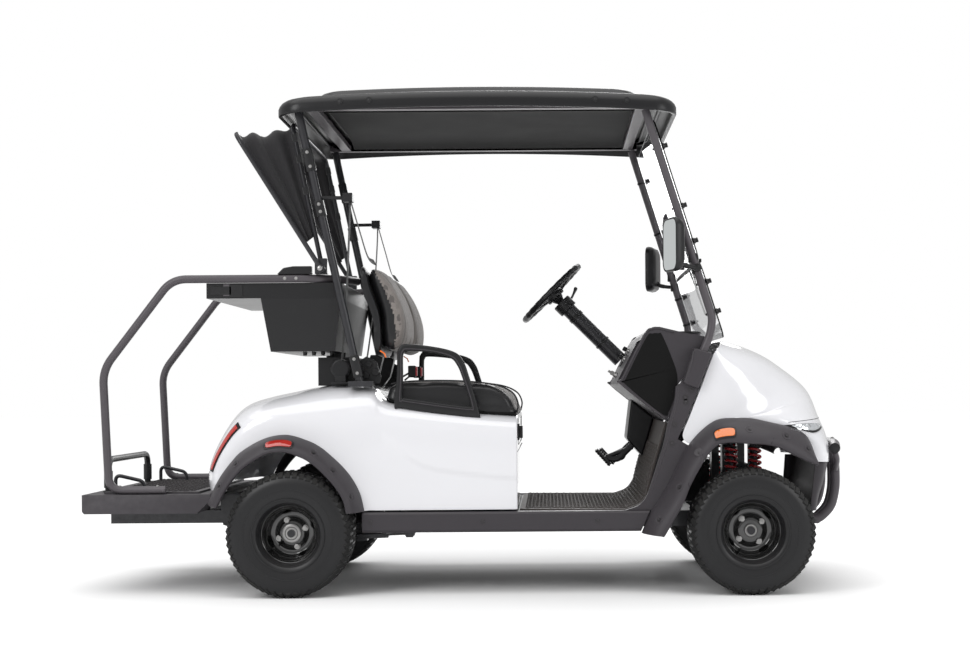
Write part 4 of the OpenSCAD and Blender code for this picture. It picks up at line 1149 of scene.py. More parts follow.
def bag_deck():
    from_cad("bag_deck_tray", "bag_deck", M_CHARCOAL, (3.5, 3))
    spots = []
    pitch = 25.0
    for i in range(16):
        x = -DECK_REAR + 88 + i * pitch * 0.87
        if x > -370:
            break
        for j in range(33):
            y = (j - 16) * pitch + (pitch / 2 if i % 2 else 0)
            if abs(y) < 398:
                spots.append(((x, y, DECK_Z + 0.8), (0, 0, 1), math.radians(45 if (i + j) % 2 else -45)))
    grown("deck_ribs", BARS, spots, M_DECK, "chassis",
          {"Length": 0.022, "Width": 0.007, "Height": 0.0026, "Taper": 0.5})
    path = rounded([(-DECK_REAR + 48, -280, DECK_Z - 10), (-DECK_REAR + 48, -280, DECK_Z + 115),
                    (-DECK_REAR + 48, 280, DECK_Z + 115), (-DECK_REAR + 48, 280, DECK_Z - 10)], 50, 12)
    made("deck_hoop", tube(path, 12.4, 24), M_BLACK)
    pads = Shape()
    for y in (-280, 280):
        pads.add(tube([(-DECK_REAR + 48, y, DECK_Z - 8), (-DECK_REAR + 48, y, DECK_Z - 3)], [22, 20], 28))
        pads.add(tube([(-DECK_REAR + 48, y, DECK_Z + 8), (-DECK_REAR + 48, y, DECK_Z + 72)], 16.5, 24))
    made("deck_hoop_sleeves", pads, M_BLACK, bevel=(1.0, 2))
    loops = Shape()
    for side in (-1, 1):
        spot = -DECK_REAR + 90
        loops.add(tube(rounded([(spot, side * 330, DECK_Z - 8), (spot, side * 330, DECK_Z + 60),
                                (spot + 110, side * 330, DECK_Z + 34),
                                (spot + 110, side * 330, DECK_Z - 6)], 24),
                       7, 16))
    made("deck_strap_loops", loops, M_FRAME)


def bag_rails():
    y = BODY_HALF - 70
    low = DECK_Z - 8 + 15.4
    path = rounded([(-480, y, low), (-690, y, low), (-710, y, 832), (-452, y, 1167), (70, y, 1167),
                    (170, y - 60, 1167), (215, y - 180, 1167)], 55, 12)
    made("bag_rail_tubes", Shape().both(tube(path, 15, 28)), M_GREY_TUBE, replaces=("bag_rails",))
    spots = []
    for x in (-30, 12):
        for side in (1, -1):
            spots.append(((x, side * (y + 14.6), 1167), (0, side, 0)))
    for x in (-650, -510):
        for side in (1, -1):
            spots.append(((x, side * y, low + 14.6), (0, 0, 1)))
    grown("rail_screws", SCREWS, spots, M_ZINC, "chassis",
          {"Head radius": 0.0055, "Head height": 0.003, "Sides": 12, "Washer": 1.2})


# ------------------------------------------------------------------ wheels


def wheel(corner, x, side, rear):
    """Tyre and rim of one wheel: swept section, shoulder lugs and tread blocks, dished steel rim."""
    body = "wheel_" + corner
    centre = (x, side * WHEEL_Y, WHEEL_Z)
    section = [(-84, 112), (-95, 116), (-101, 126), (-106, 150), (-107.3, 172), (-106, 190), (-102, 203),
               (-97, 212), (-90, 219), (-80, 223.2), (-60, 225.4), (-30, 226.4), (0, 226.8)]
    section += [(-a, r) for a, r in reversed(section[:-1])]
    inside = [(80, 108), (60, 104), (0, 102), (-60, 104), (-80, 108)]
    profile = curve(section, 60) + inside
    tyre = Shape().add(lathe(profile, centre, "Y", 120, side))
    for ring in ((-104.8, 132.0), (-107.0, 163.0), (104.8, 132.0), (107.0, 163.0)):
        band = [(ring[0] - 0.9, ring[1] - 2.2), (ring[0] + 0.9, ring[1] - 2.2),
                (ring[0] + 0.9, ring[1] + 2.2),
                (ring[0] - 0.9, ring[1] + 2.2)]
        tyre.add(lathe(band, centre, "Y", 120, side))
    made(body + "_tyre", tyre, M_TYRE, body, replaces=("tyre_" + corner,), crease=50)
    lugs = []
    count = 54
    for i in range(count):
        for row, (along, radius, tilt) in enumerate(
                ((-88, 214.2, -38), (88, 214.2, 38), (-62, 222.6, -8), (62, 222.6, 8),
                 (-31, 224.6, 0), (31, 224.6, 0),
                 (0, 225.0, 0))):
            angle = math.tau * (i + (0.5 if row % 2 else 0.0)) / count
            c, s = math.cos(angle), math.sin(angle)
            t = math.radians(tilt)
            out = (math.cos(t) * c, side * math.sin(t), math.cos(t) * s)
            p = (centre[0] + radius * c, centre[1] + side * along, centre[2] + radius * s)
            lugs.append((p, out))
    shoulder_lugs = [lug for k, lug in enumerate(lugs) if k % 7 < 2]
    crown_lugs = [lug for k, lug in enumerate(lugs) if k % 7 >= 2]
    grown(body + "_shoulder_lugs", BARS, shoulder_lugs, M_TREAD, body,
          {"Length": 0.019, "Width": 0.030, "Height": 0.0075, "Taper": 0.62})
    grown(body + "_crown_blocks", BARS, crown_lugs, M_TREAD, body,
          {"Length": 0.019, "Width": 0.024, "Height": 0.0034, "Taper": 0.62})
    dish = [(95, 118), (94.6, 121.6), (91, 122.4), (88, 119), (86.5, 114), (78, 111),
            (66, 108.5), (58, 106.5),
            (54, 101.5), (46, 99), (40, 95), (34, 90), (24, 87.5), (8, 86), (0, 82), (-5, 76), (-6.5, 66),
            (-4, 58), (4, 50), (8, 44)]
    middle = [(8.6, 36), (8.6, 14.3)]
    back = [(2, 14.3), (2, 34), (-10, 52), (-12, 78), (-3, 90), (20, 92), (-86, 104),
            (-90, 112), (-95, 118),
            (-94.6, 121.6), (-91, 122.4), (-87, 116), (-84, 108.5), (30, 108.5), (60, 112.5), (80, 115.5)]
    made(body + "_rim", Shape().add(lathe(curve(dish, 90) + middle + back, centre, "Y", 112, side)),
         M_RIM, body, replaces=("rim_" + corner,), crease=34)
    face = 9.2
    hub_r = 35.0 if rear else 24.0
    hub = ([(face, 0.01), (face + 13, 0.01), (face + 13, hub_r * 0.30), (face + 10.5, hub_r * 0.36),
            (face + 10.5, hub_r * 0.62), (face + 12.5, hub_r * 0.70), (face + 12.5, hub_r * 0.88),
            (face + 10, hub_r), (face, hub_r)])
    made(body + "_hub_cap", lathe(hub, centre, "Y", 56, side), M_ZINC, body, crease=34)
    nuts = []
    turn = math.radians(21 if rear else 37)
    for k in range(4):
        a = turn + k * math.pi / 2
        nuts.append(((x + 50.8 * math.cos(a), side * (WHEEL_Y + 3.0),
                      WHEEL_Z + 50.8 * math.sin(a)), (0, side, 0)))
    grown(body + "_lug_nuts", SCREWS, nuts, M_ZINC, body,
          {"Head radius": 0.0095, "Head height": 0.013, "Sides": 6, "Washer": 1.25})
    a = turn + math.radians(200)
    foot = (x + 84 * math.cos(a), side * (WHEEL_Y + 30), WHEEL_Z + 84 * math.sin(a))
    tip = (x + 74 * math.cos(a), side * (WHEEL_Y + 62), WHEEL_Z + 74 * math.sin(a))
    made(body + "_valve", tube([foot, plus(foot, minus(tip, foot), 0.55), plus(foot, minus(tip,
                                                                                           foot), 0.6), tip],
                               [5.6, 4.2, 3.2, 3.2], 14), M_TREAD, body)


# ------------------------------------------------------------------ running gear


def running_gear():
    for part in ("chassis_frame", "rear_axle", "leaf_springs", "front_suspension", "knuckle_left",
                 "knuckle_right",
                 "tie_rods"):
        painted(part, M_FRAME)
    painted("battery_pack", M_BATTERY)
    dampers, coils = Shape(), []
    radius = 27.0
    for side in (1, -1):
        for x in (FRONT_AXLE - 42, FRONT_AXLE + 48):
            low, top = (x, side * 294, 346), (x, side * 267, 526)
            run = minus(top, low)
            lean = unit(run)
            coils.append((plus(low, lean, 7), lean))
            dampers.add(tube([plus(low, lean, 1), plus(low, run, 0.56)], 14, 24))
            dampers.add(tube([plus(low, run, 0.5), plus(top, lean, -1)], 7, 18))
            for start in (plus(low, lean, 0.5), plus(top, lean, -6.5)):
                dampers.add(tube([start, plus(start, lean, 3), plus(start, lean, 6)],
                                 [radius - 4, radius - 1, radius - 1], 28))
    grown("coil_spring_wires", COILS, coils, M_RED_SPRING, "chassis",
          {"Radius": (radius - 5.5) / 1000, "Length": 0.168, "Turns": 7.5, "Wire radius": 0.0052},
          crease=180)
    made("damper_bodies", dampers, M_BLACK, replaces=("coil_springs",), bevel=(0.8, 2))
    spots = []
    for x in (FRONT_AXLE - 45, FRONT_AXLE + 45):
        for side in (1, -1):
            spots.append(((x, side * 240, 574.5), (0, 0, 1)))
    for side in (1, -1):
        for dx in (-30, 30):
            spots.append(((dx, side * 260, 198), (0, 0, -1)))
    grown("frame_screws", SCREWS, spots, M_ZINC, "chassis",
          {"Head radius": 0.008, "Head height": 0.006, "Sides": 6, "Washer": 1.5})


def brush_guard():
    x = FRONT_AXLE
    front = x + 390 - 19
    parts = Shape()

    def side(y):
        return [(x + 214.4, y, 255), (x + 300, y, 236), (x + 355, y, 288), (front, y, 360), (front, y, 430),
                (x + 362, y, 534)]

    parts.both(tube(rounded(side(181), 30, 10), 19, 28))
    parts.both(tube(rounded(side(80)[1:], 30, 10), 11, 22))
    parts.add(tube([(x + 300, -190, 236), (x + 300, 190, 236)], 13, 24))
    parts.both(tube(curve([(x + 356, 262, 500), (x + 367, 240, 470), (front - 2, 186, 428)], 14), 12, 20))
    parts.add(tube(rounded([(x + 344, -330, 520), (x + 362, -240, 534), (x + 362, 240, 534),
                            (x + 344, 330, 520)],
                           60, 12), 19, 28))
    made("guard_tubes", parts, M_GREY_TUBE, replaces=("brush_guard",))
    caps = Shape()
    for s in (1, -1):
        caps.add(tube([(x + 345, s * 325, 520.4), (x + 343.5, s * 331.2, 519.8),
                       (x + 343, s * 333.5, 519.6)],
                      [20, 20, 15], 28))
    made("guard_end_caps", caps, M_BLACK)
    spots = [((x + 362, s * 181, 553), (0, 0, 1)) for s in (1, -1)]
    grown("guard_screws", SCREWS, spots, M_ZINC, "chassis",
          {"Head radius": 0.006, "Head height": 0.004, "Sides": 6, "Washer": 1.4})


# ------------------------------------------------------------------ dash and controls

CUP_X, CUP_Y, CUP_Z = FRONT_AXLE - 205, 300.0, 958.0


def dash():
    from_cad("dash_moulding", "dashboard", M_CHARCOAL, (5.0, 4), crease=30)
    from_cad("column_shroud", "column_cover", M_BLACK, (9.0, 4))
    rings = Shape()
    for side in (1, -1):
        rings.add(lathe([(-2, 38.2), (4.5, 38.2), (6, 40), (6, 47), (4, 50), (-2, 50)],
                        (CUP_X, side * CUP_Y, CUP_Z + 1), "Z", 72))
        rings.add(lathe([(-58, 36.8), (-2, 37.6), (-2, 38.0), (-58, 37.9)],
                        (CUP_X, side * CUP_Y, CUP_Z), "Z", 56))
    made("cup_holder_rings", rings, M_BLACK, bevel=(0.8, 2))
    # dark side panels of the dash, framed by its raised border
    inset = [(-318, 655), (-455, 768), (-452, 786), (-376, 936), (-352, 952), (-330, 953), (-318, 949),
             (-288, 880), (-262, 800), (-268, 740), (-292, 668)]
    panel = Shape().both(plate([(FRONT_AXLE + p[0], p[1]) for p in curve(inset, 60, closed=True)],
                               469.0, 471.4))
    made("dash_side_panels", panel, M_DARK, bevel=(0.7, 2))
    border = Shape()
    outline = curve([(FRONT_AXLE + px, 470, pz) for px, pz in
                     [(-309, 640), (-468, 768), (-461, 790), (-381, 946), (-352, 970), (-326, 971),
                      (-270, 957)]], 70)
    border.both(tube(outline, 4.5, 12))
    made("dash_borders", border, M_CHARCOAL)
    # instrument face by the column
    knobs, metal = Shape(), Shape()
    out = unit((-0.87, 0, 0.49))
    for y, z, r in ((160, 905, 9), (160, 872, 10), (195, 905, 9)):
        x = FRONT_AXLE + lookup(z, [(768, -474), (790, -465), (950, -384)])
        p = (x, y, z)
        metal.add(tube([p, plus(p, out, 3), plus(p, out, 10)], [r + 3, r + 2, r - 3], 24))
        knobs.add(tube([plus(p, out, 10), plus(p, out, 12), plus(p, out, 24), plus(p, out, 26)],
                       [r - 2, r, r, r - 3], 24))
    key = (FRONT_AXLE + lookup(805, [(768, -474), (790, -465), (950, -384)]), 165, 805)
    metal.add(tube([key, plus(key, out, 4), plus(key, out, 12), plus(key, out, 13)], [14, 13, 10.5, 8], 28))
    made("dash_switch_collars", metal, M_ZINC)
    made("dash_knobs", knobs, M_BLACK, bevel=(0.8, 2))
    blade = turned(plate([(-1, -9), (13, -9), (15, -5), (26, -5), (26, 5), (15, 5), (13, 9),
                          (-1, 9)], -1.1, 1.1),
                   Matrix.Translation(Vector(plus(key, out, 13)))
                   @ Matrix.Rotation(math.atan2(0.49, -0.87), 4, "Y").inverted() @ Matrix.Identity(4))
    made("key", blade, M_ZINC, bevel=(0.4, 2))
    face = turned(plate(ring_outline(150, 84, 12), -3.5, 1.0),
                  Matrix.Translation(Vector((FRONT_AXLE - 421, 300, 880)))
                  @ Matrix.Rotation(math.radians(90), 4, "Z")
                  @ Matrix.Rotation(math.radians(26.5), 4, "X"))
    made("instrument_face", face, M_DARK, bevel=(1.0, 2))


def steering():
    centre = Vector((960, 270, 1152))
    tilt = math.atan2(-273 / math.hypot(273, 272), 272 / math.hypot(273, 272))
    frame_of = Matrix.Translation(centre) @ Matrix.Rotation(tilt, 4, "Y")
    rim = Shape()
    path = []
    radii = []
    for i in range(180):
        a = math.tau * i / 180
        path.append((156 * math.cos(a), 156 * math.sin(a), 0))
        radii.append(12.4 + 0.6 * math.cos(24 * a))
    rim.add(turned(tube(path, radii, 22, closed=True), frame_of))
    made("steering_rim", rim, M_BLACK, "steering_wheel", replaces=("steering_wheel",),
         crease=60)
    spokes = Shape()
    for angle in (90, 210, 330):
        a = math.radians(angle)
        d = (math.cos(a), math.sin(a), 0)
        line = curve([plus((0, 0, -20), d, 30), plus((0, 0, -14), d, 70), plus((0, 0, -6), d, 115),
                      plus((0, 0, -1), d, 150)], 20)
        spokes.add(turned(tube(line, 1, 20, flat=(15, 4.5)), frame_of))
    spokes.add(turned(lathe([(-30, 0.01), (-30, 38), (-27, 42), (-16, 44), (-6, 38), (-1, 27),
                             (1, 12), (1.5, 0.01)],
                            (0, 0, 0), "Z", 56), frame_of))
    made("steering_spokes", spokes, M_BLACK, "steering_wheel", bevel=(1.0, 2))
    made("horn_button", turned(lathe([(1, 0.01), (1, 20), (4.5, 19), (6.2, 14), (7, 0.01)], (0,
                                                                                             0, 0), "Z", 48),
                               frame_of), M_DARK, "steering_wheel")
    spots = [(tuple(frame_of @ Vector((55 * math.cos(math.radians(a)),
                                       55 * math.sin(math.radians(a)), -12.0))),
              tuple(frame_of.to_3x3() @ Vector((0, 0, 1)))) for a in (90, 210, 330)]
    grown("spoke_screws", SCREWS, spots, M_DULL, "steering_wheel",
          {"Head radius": 0.005, "Head height": 0.003, "Sides": 12, "Washer": 1.2})
    column = Shape()
    for radius, z0, z1 in ((14.4, -56, -30.8), (20, -70, -55), (31, -400.2, -98)):
        column.add(turned(tube([(0, 0, z0), (0, 0, z1)], radius, 36), frame_of))
    made("column_tubes", column, M_FRAME, replaces=("steering_column",), bevel=(1.0, 2))
    collar = Shape().add(turned(lathe([(-100, 30), (-100, 38), (-97, 41), (-57, 41), (-53, 38),
                                       (-53, 16), (-57, 15)],
                                      (0, 0, 0), "Z", 48), frame_of))
    collar.add(turned(lathe([(-66, 14), (-50, 17), (-34, 26), (-31, 26), (-31, 13.5)], (0, 0, 0),
                            "Z", 40), frame_of))
    collar.add(turned(lathe([(-150, 31), (-150, 33.5), (-134, 33.5), (-134, 31)], (0, 0, 0),
                            "Z", 40), frame_of))
    collar.add(turned(lathe([(-300, 31), (-300, 34), (-290, 34), (-290, 31)], (0, 0, 0),
                            "Z", 40), frame_of))
    made("column_collars", collar, M_BLACK, bevel=(1.0, 2))
    lever = Shape().add(turned(tube(curve([(20, 30, -76), (48, 62, -70), (80, 104, -58),
                                           (92, 122, -52)], 20),
                                    [5, 5, 5, 5, 5, 5, 5, 5, 5, 5, 5, 5.4, 6, 6.5, 7, 7.5, 8,
                                     8, 8, 7, 5], 16),
                               frame_of))
    made("direction_lever", lever, M_BLACK)


def pedals():
    from_cad("pedal_plates", "pedals", M_FRAME, (1.6, 2))
    pads = Shape()
    for y, dx in ((200, 0), (330, 22)):
        base = Matrix.Translation(Vector((FRONT_AXLE - 510 + dx, y,
                                          470))) @ Matrix.Rotation(math.radians(-42), 4, "Y")
        pads.add(turned(plate([(-10, -42), (-5.2, -42), (-5.2, 44), (-10, 44)], -37, 37), base))
        for k in range(7):
            pads.add(turned(plate([(-13, -38 + 12 * k), (-9, -39 + 12 * k), (-9, -31 + 12 * k),
                                   (-13, -32 + 12 * k)],
                                  -34, 34), base))
    made("pedal_pads", pads, M_TREAD, bevel=(1.0, 2))
    arms = Shape()
    for y, dx in ((200, 0), (330, 22)):
        arms.add(tube(curve([(FRONT_AXLE - 505 + dx, y, 466), (FRONT_AXLE - 455 + dx, y, 462),
                             (FRONT_AXLE - 420, y, 492), (FRONT_AXLE - 392, y, 520)], 24), 1,
                      16, flat=(9, 13)))
    made("pedal_arms", arms, M_FRAME)


# ------------------------------------------------------------------ screen, roof and mirrors

PILLAR_TOP = (FRONT_AXLE - 374, 0, ROOF_Z - 4.1)
PILLAR_KINK = (FRONT_AXLE - 132, 0, 1007)
LEAN = math.atan((PILLAR_KINK[0] - PILLAR_TOP[0]) / (PILLAR_TOP[2] - PILLAR_KINK[2]))


def screen_spot(y, z, ahead=0.0):
    """A point on the screen's rear face, or ahead of it, at height z."""
    x = PILLAR_KINK[0] + 15 / math.cos(LEAN) + SEAM - (z - PILLAR_KINK[2]) * math.tan(LEAN)
    return (x + ahead * math.cos(LEAN), y, z + ahead * math.sin(LEAN))


def windscreen():
    for part in ("windshield_upper", "windshield_lower"):
        painted(part, M_SCREEN)
    posts = Shape().both(tube(rounded([
        (FRONT_AXLE - 172, BODY_HALF - 12, 874), (FRONT_AXLE - 142, BODY_HALF - 12, 944),
        (PILLAR_KINK[0], BODY_HALF - 14, PILLAR_KINK[2]), (PILLAR_TOP[0], BODY_HALF - 20, PILLAR_TOP[2])],
        24, 10), 15, 28))
    made("screen_posts", posts, M_GREY_TUBE, replaces=("windshield_struts",))
    strip, clips = Shape(), Shape()
    joint = screen_spot(0, 1206, 2.5)
    strip.add(tube([(joint[0], -486, joint[2] + 12), (joint[0], 486, joint[2] + 12)], 1, 16, flat=(5.2, 7)))
    made("screen_hinge_strip", strip, M_BLACK, bevel=(0.8, 2))
    for side in (1, -1):
        for z in (1030, 1140, 1290, 1420, 1640):
            p = screen_spot(side * 470, z, 5)
            q = screen_spot(side * 470, z, 14)
            clips.add(tube([p, q], [13, 10], 22))
            clips.add(tube([q, screen_spot(side * 470, z, 24)], [8, 9.5], 18))
            r = screen_spot(side * 470, z, -2)
            s = screen_spot(side * 470, z, -34)
            clips.add(tube([r, s], [4.5, 4.5], 14))
    made("screen_clip_knobs", clips, M_BLACK, bevel=(0.8, 2))
    latches = Shape()
    for side in (1, -1):
        for z in (1190, 1232):
            c = screen_spot(side * 484, z, -14)
            latches.add(block((c[0] - 20, c[1] - 11, c[2] - 17), (c[0] + 14, c[1] + 12, c[2] + 17)))
    made("screen_latches", latches, M_BLACK, bevel=(4, 3))
    rows, around = [], 32
    for i in range(25):
        t = i / 24
        z = 1225 + 225 * t
        swell = math.sin(math.pi * min(1, 0.08 + t * 0.9))
        half = 44 * swell ** 0.55
        rows.append([plus(screen_spot(half * math.cos(math.tau * k / around), z, -4), (-1, 0, 0),
                          (22 + 22 * math.sin(math.tau * k / around)) * swell ** 0.6) for k in range(around)])
    cover = Shape().add(stacked(rows))
    made("wiper_motor_cover", cover, M_CHARCOAL)
    wiper = Shape()
    hub = screen_spot(0, 1395, 6)
    wiper.add(tube([hub, screen_spot(0, 1395, 24)], [17, 14], 24))
    wiper.add(tube(curve([screen_spot(0, 1395, 20), screen_spot(-30, 1330, 22), screen_spot(-60, 1240, 20),
                          screen_spot(-90, 1140, 14)], 30), 1, 12, flat=(5, 3)))
    wiper.add(tube([screen_spot(-55, 1245, 9), screen_spot(-125, 1035, 9)], 1, 12, flat=(4, 3)))
    wiper.add(tube([screen_spot(-55, 1245, 6.5), screen_spot(-125, 1035, 6.5)], 1, 8, flat=(1.2, 1.4)))
    made("wiper", wiper, M_BLACK)


def mirrors():
    shape, glass, arms = Shape(), Shape(), Shape()
    mount = (FRONT_AXLE - 189.5, BODY_HALF - 16 + 15 + 14 + SEAM, 1190)
    place = (Matrix.Translation(Vector((FRONT_AXLE - 275, BODY_HALF + 58, 1270)))
             @ Matrix.Rotation(math.radians(72), 4, "Z") @ Matrix.Rotation(math.radians(90), 4, "X"))
    outline = ring_outline(130, 196, 34, 10)
    rows = []
    for depth, scale in ((-21, 0.50), (-19, 0.74), (-12, 0.90), (0, 0.98), (14, 1.0),
                         (21, 0.985), (22, 0.95)):
        rows.append([(x * scale, y * scale, depth) for x, y in outline])
    rows.append([(x * 0.93, y * 0.93, 19.0) for x, y in outline])
    n = len(outline)
    housing = stacked(rows)
    facing = 1 if (place.to_3x3() @ Vector((0, 0, 1))).x < 0 else -1
    flip = Matrix.Identity(4) if facing == 1 else Matrix.Rotation(math.pi, 4, "Y")
    shape.both(turned(housing, place @ flip))
    plate_points = [(x * 0.925, y * 0.925, d) for d in (19.2, 20.2) for x, y in outline]
    glass_faces = [list(range(n))[::-1], [n + k for k in range(n)]] + [
        [k, (k + 1) % n, n + (k + 1) % n, n + k] for k in range(n)]
    glass.both(turned((plate_points, glass_faces), place @ flip))
    arms.both(tube(curve([mount, (FRONT_AXLE - 215, BODY_HALF + 36, 1192),
                          (FRONT_AXLE - 250, BODY_HALF + 50, 1200),
                          (FRONT_AXLE - 268, BODY_HALF + 54, 1218)], 20),
                   [8] * 10 + [9] * 5 + [11] * 6, 18))
    arms.both(lathe([(-15.5, 0.01), (-15.5, 14), (-12, 15), (12, 15), (13, 12), (13, 0.01)],
                    (mount[0], mount[1] - 0.3, mount[2]), "Y", 32))
    made("mirror_housings", shape, M_BLACK, replaces=("mirrors",))
    made("mirror_glass", glass, M_MIRROR)
    made("mirror_arms", arms, M_BLACK)


ROOF_X0, ROOF_X1, ROOF_HALF = -44.0, FRONT_AXLE - 258.0, 560.0
ROOF_MID, ROOF_LEN = (ROOF_X0 + ROOF_X1) / 2, ROOF_X1 - ROOF_X0


def band_z(x):
    t = (x - ROOF_MID) / (ROOF_LEN / 2)
    return ROOF_Z - 24 * t * t


def roof():
    outline = []
    r = 95
    for q in range(4):
        sx, sy = (1, -1, -1, 1)[q], (1, 1, -1, -1)[q]
        cx, cy = sx * (ROOF_LEN / 2 - r), sy * (ROOF_HALF - r)
        for k in range(13):
            a = math.radians(90 * q + 90 * k / 12)
            outline.append((cx + r * math.cos(a), cy + r * math.sin(a)))
        for k in range(1, 20):
            t = k / 20
            outline.append((cx * (1 - 2 * t), sy * ROOF_HALF) if q % 2 == 0
                           else (sx * ROOF_LEN / 2, cy * (1 - 2 * t)))
    rings = [(0.02, 104), (0.25, 103), (0.45, 101), (0.62, 98.5), (0.755, 95), (0.785, 93),
             (0.80, 89), (0.812, 82),
             (0.824, 74), (0.836, 70), (0.855, 67), (0.90, 63.5), (0.945, 60.5), (0.968, 56), (0.984, 48),
             (0.994, 38), (1.0, 26), (1.0, 12), (1.0, 3), (0.9985, 0.6), (0.995, 0.0),
             (0.985, 0.4), (0.98, 4),
             (0.978, 20), (0.965, 44), (0.93, 54), (0.86, 58), (0.80, 62), (0.6, 90), (0.02, 97)]
    rows = [[(ROOF_MID + x * k, y * k, band_z(ROOF_MID + x * k) + h) for x, y in outline] for k, h in rings]
    n = len(outline)
    points = [p for row in rows for p in row]
    faces = [[i * n + k, (i + 1) * n + k, (i + 1) * n + (k + 1) % n, i * n + (k + 1) % n]
             for i in range(len(rows) - 1) for k in range(n)]
    faces += [list(range(n)), [(len(rows) - 1) * n + k for k in range(n)][::-1]]
    made("roof_shell", (points, faces), M_ROOF, replaces=("roof",), crease=60)
    ribs = Shape()
    for k, h in ((0.93, 47), (0.885, 50)):
        path = [(ROOF_MID + x * k, y * k, band_z(ROOF_MID + x * k) + h) for x, y in outline]
        ribs.add(tube(path, 6.5, 10, closed=True))
    for y in (-170, 0, 170):
        ribs.add(tube([(x, y, band_z(x) + 56 + 20 * (1 - abs(y) / 400)) for x in range(170,
                                                                                       1200, 40)], 7, 10))
    made("roof_ribs", ribs, M_BLACK)
    # Dark sheet under the roof: the roof's black underside, partly given the darkest, least reflective finish
    # as painted shade against the light from the floor.
    pan = []
    for i in range(31):
        x = 118 + i * (FRONT_AXLE - 412 - 118) / 30
        row = []
        for j in range(25):
            y = -428 + 856 * j / 24
            rise = 26 * (1 - (abs(y) / 428) ** 6)
            row.append((x, y, ROOF_Z + 3 + rise))
        pan.append(row)
    made("roof_lining", skin(pan, 0, 3), M_DARK)
    from_cad("roof_frame_bars", "roof_frame", M_GREY_TUBE, (3, 3))
    spots = [((x, side * (ROOF_HALF + 0.2), band_z(x) + 30), (0, side, 0)) for x in (195, 300, 1120, 1235)
             for side in (1, -1)]
    grown("roof_screws", SCREWS, spots, M_BLACK, "chassis",
          {"Head radius": 0.0085, "Head height": 0.003, "Sides": 16, "Washer": 1.35})


def rear_struts():
    top, low = (30.6, BODY_HALF - 20, ROOF_Z - 2.6), (244, BODY_HALF - 68, 780)
    shape = Shape().both(tube([top, low], 15, 28))
    shape.both(block((low[0] - 40, low[1] - 34, 764), (low[0] + 50, low[1] + 34, 784)))
    made("rear_strut_tubes", shape, M_FRAME, replaces=("rear_struts",), bevel=(2, 2))

    def on_strut(z):
        k = (z - top[2]) / (low[2] - top[2])
        return tuple(a + (b - a) * k for a, b in zip(top, low))

    brackets, spots = Shape(), []
    for z0, z1 in ((1560, 1640), (1395, 1450), (800, 880)):
        a, b = on_strut(z0), on_strut(z1)
        brackets.both(tube([a, b], 1, 20, flat=(18, 17.5)))
        for z in (z0 + 14, z1 - 14):
            p = on_strut(z)
            for s in (1, -1):
                spots.append(((p[0], s * (p[1] + 18.2), p[2]), (0, s, 0)))
    made("strut_brackets", brackets, M_BLACK, bevel=(1.5, 2))
    grown("strut_screws", SCREWS, spots, M_ZINC, "chassis",
          {"Head radius": 0.0048, "Head height": 0.003, "Sides": 6, "Washer": 1.3})


# ------------------------------------------------------------------ seat


def stuffed(name, shape, voxel, pressure, cap, weight=None):
    """Pads a closed form with a short cloth simulation; each vertex moves by at most cap millimetres."""
    mesh = bpy.data.meshes.new(name)
    mesh.from_pydata([at(p) for p in shape[0]], [], shape[1])
    work = bmesh.new()
    work.from_mesh(mesh)
    bmesh.ops.remove_doubles(work, verts=work.verts, dist=1e-6)
    bmesh.ops.recalc_face_normals(work, faces=work.faces)
    work.to_mesh(mesh)
    work.free()
    piece = bpy.data.objects.new(name, mesh)
    SCENE.collection.objects.link(piece)
    remesh = piece.modifiers.new("Even", "REMESH")
    remesh.mode = "VOXEL"
    remesh.voxel_size = voxel / 1000
    smooth = piece.modifiers.new("Soft", "SMOOTH")
    smooth.factor, smooth.iterations = 0.5, 6
    graph = bpy.context.evaluated_depsgraph_get()
    even = bpy.data.meshes.new_from_object(piece.evaluated_get(graph))
    piece.modifiers.clear()
    piece.data = even
    even.name = name
    rest = [v.co.copy() for v in even.vertices]
    cloth_modifier = piece.modifiers.new("Padding", "CLOTH")
    settings = cloth_modifier.settings
    settings.quality = 5
    settings.mass = 0.3
    settings.tension_stiffness = settings.compression_stiffness = 15
    settings.bending_stiffness = 0.5
    settings.use_pressure = True
    settings.uniform_pressure_force = pressure
    settings.effector_weights.gravity = 0
    cloth_modifier.collision_settings.use_collision = False
    first, last = 1, 20
    cloth_modifier.point_cache.frame_start, cloth_modifier.point_cache.frame_end = first, last
    for step in range(first, last + 1):
        SCENE.frame_set(step)
    graph = bpy.context.evaluated_depsgraph_get()
    puffed = bpy.data.meshes.new_from_object(piece.evaluated_get(graph))
    piece.modifiers.clear()
    limit = cap / 1000
    for v, before, after in zip(even.vertices, rest, puffed.vertices):
        move = after.co - before
        if move.length > limit:
            move *= limit / move.length
        if weight:
            move *= weight(before)
        v.co = before + move
    SCENE.frame_set(1)
    return piece


def two_tone(piece, materials, pick):
    mesh = piece.data
    mesh.materials.clear()
    for material in materials:
        mesh.materials.append(material)
    for polygon in mesh.polygons:
        c = polygon.center
        polygon.material_index = pick((c.x * 1000 + AXLE_TO_MIDDLE, c.y * 1000, c.z * 1000), polygon.normal)


def crowned(profile, middle, y0, y1, power, stations=40, spread=(1.0, 1.0)):
    """Closed pillow: a side profile scaled about its middle towards both ends of its width."""
    rows = []
    for i in range(stations + 1):
        u = -math.cos(math.pi * i / stations)
        f = max(1 - abs(u) ** power, 0) ** (1 / power)
        f = max(f, 0.02)
        row = []
        for x, z in profile:
            row.append((middle[0] + (x - middle[0]) * (1 - spread[0] + spread[0] * f),
                        (y0 + y1) / 2 + (y1 - y0) / 2 * u,
                        middle[1] + (z - middle[1]) * (1 - spread[1] + spread[1] * f)))
        rows.append(row)
    return stacked(rows)


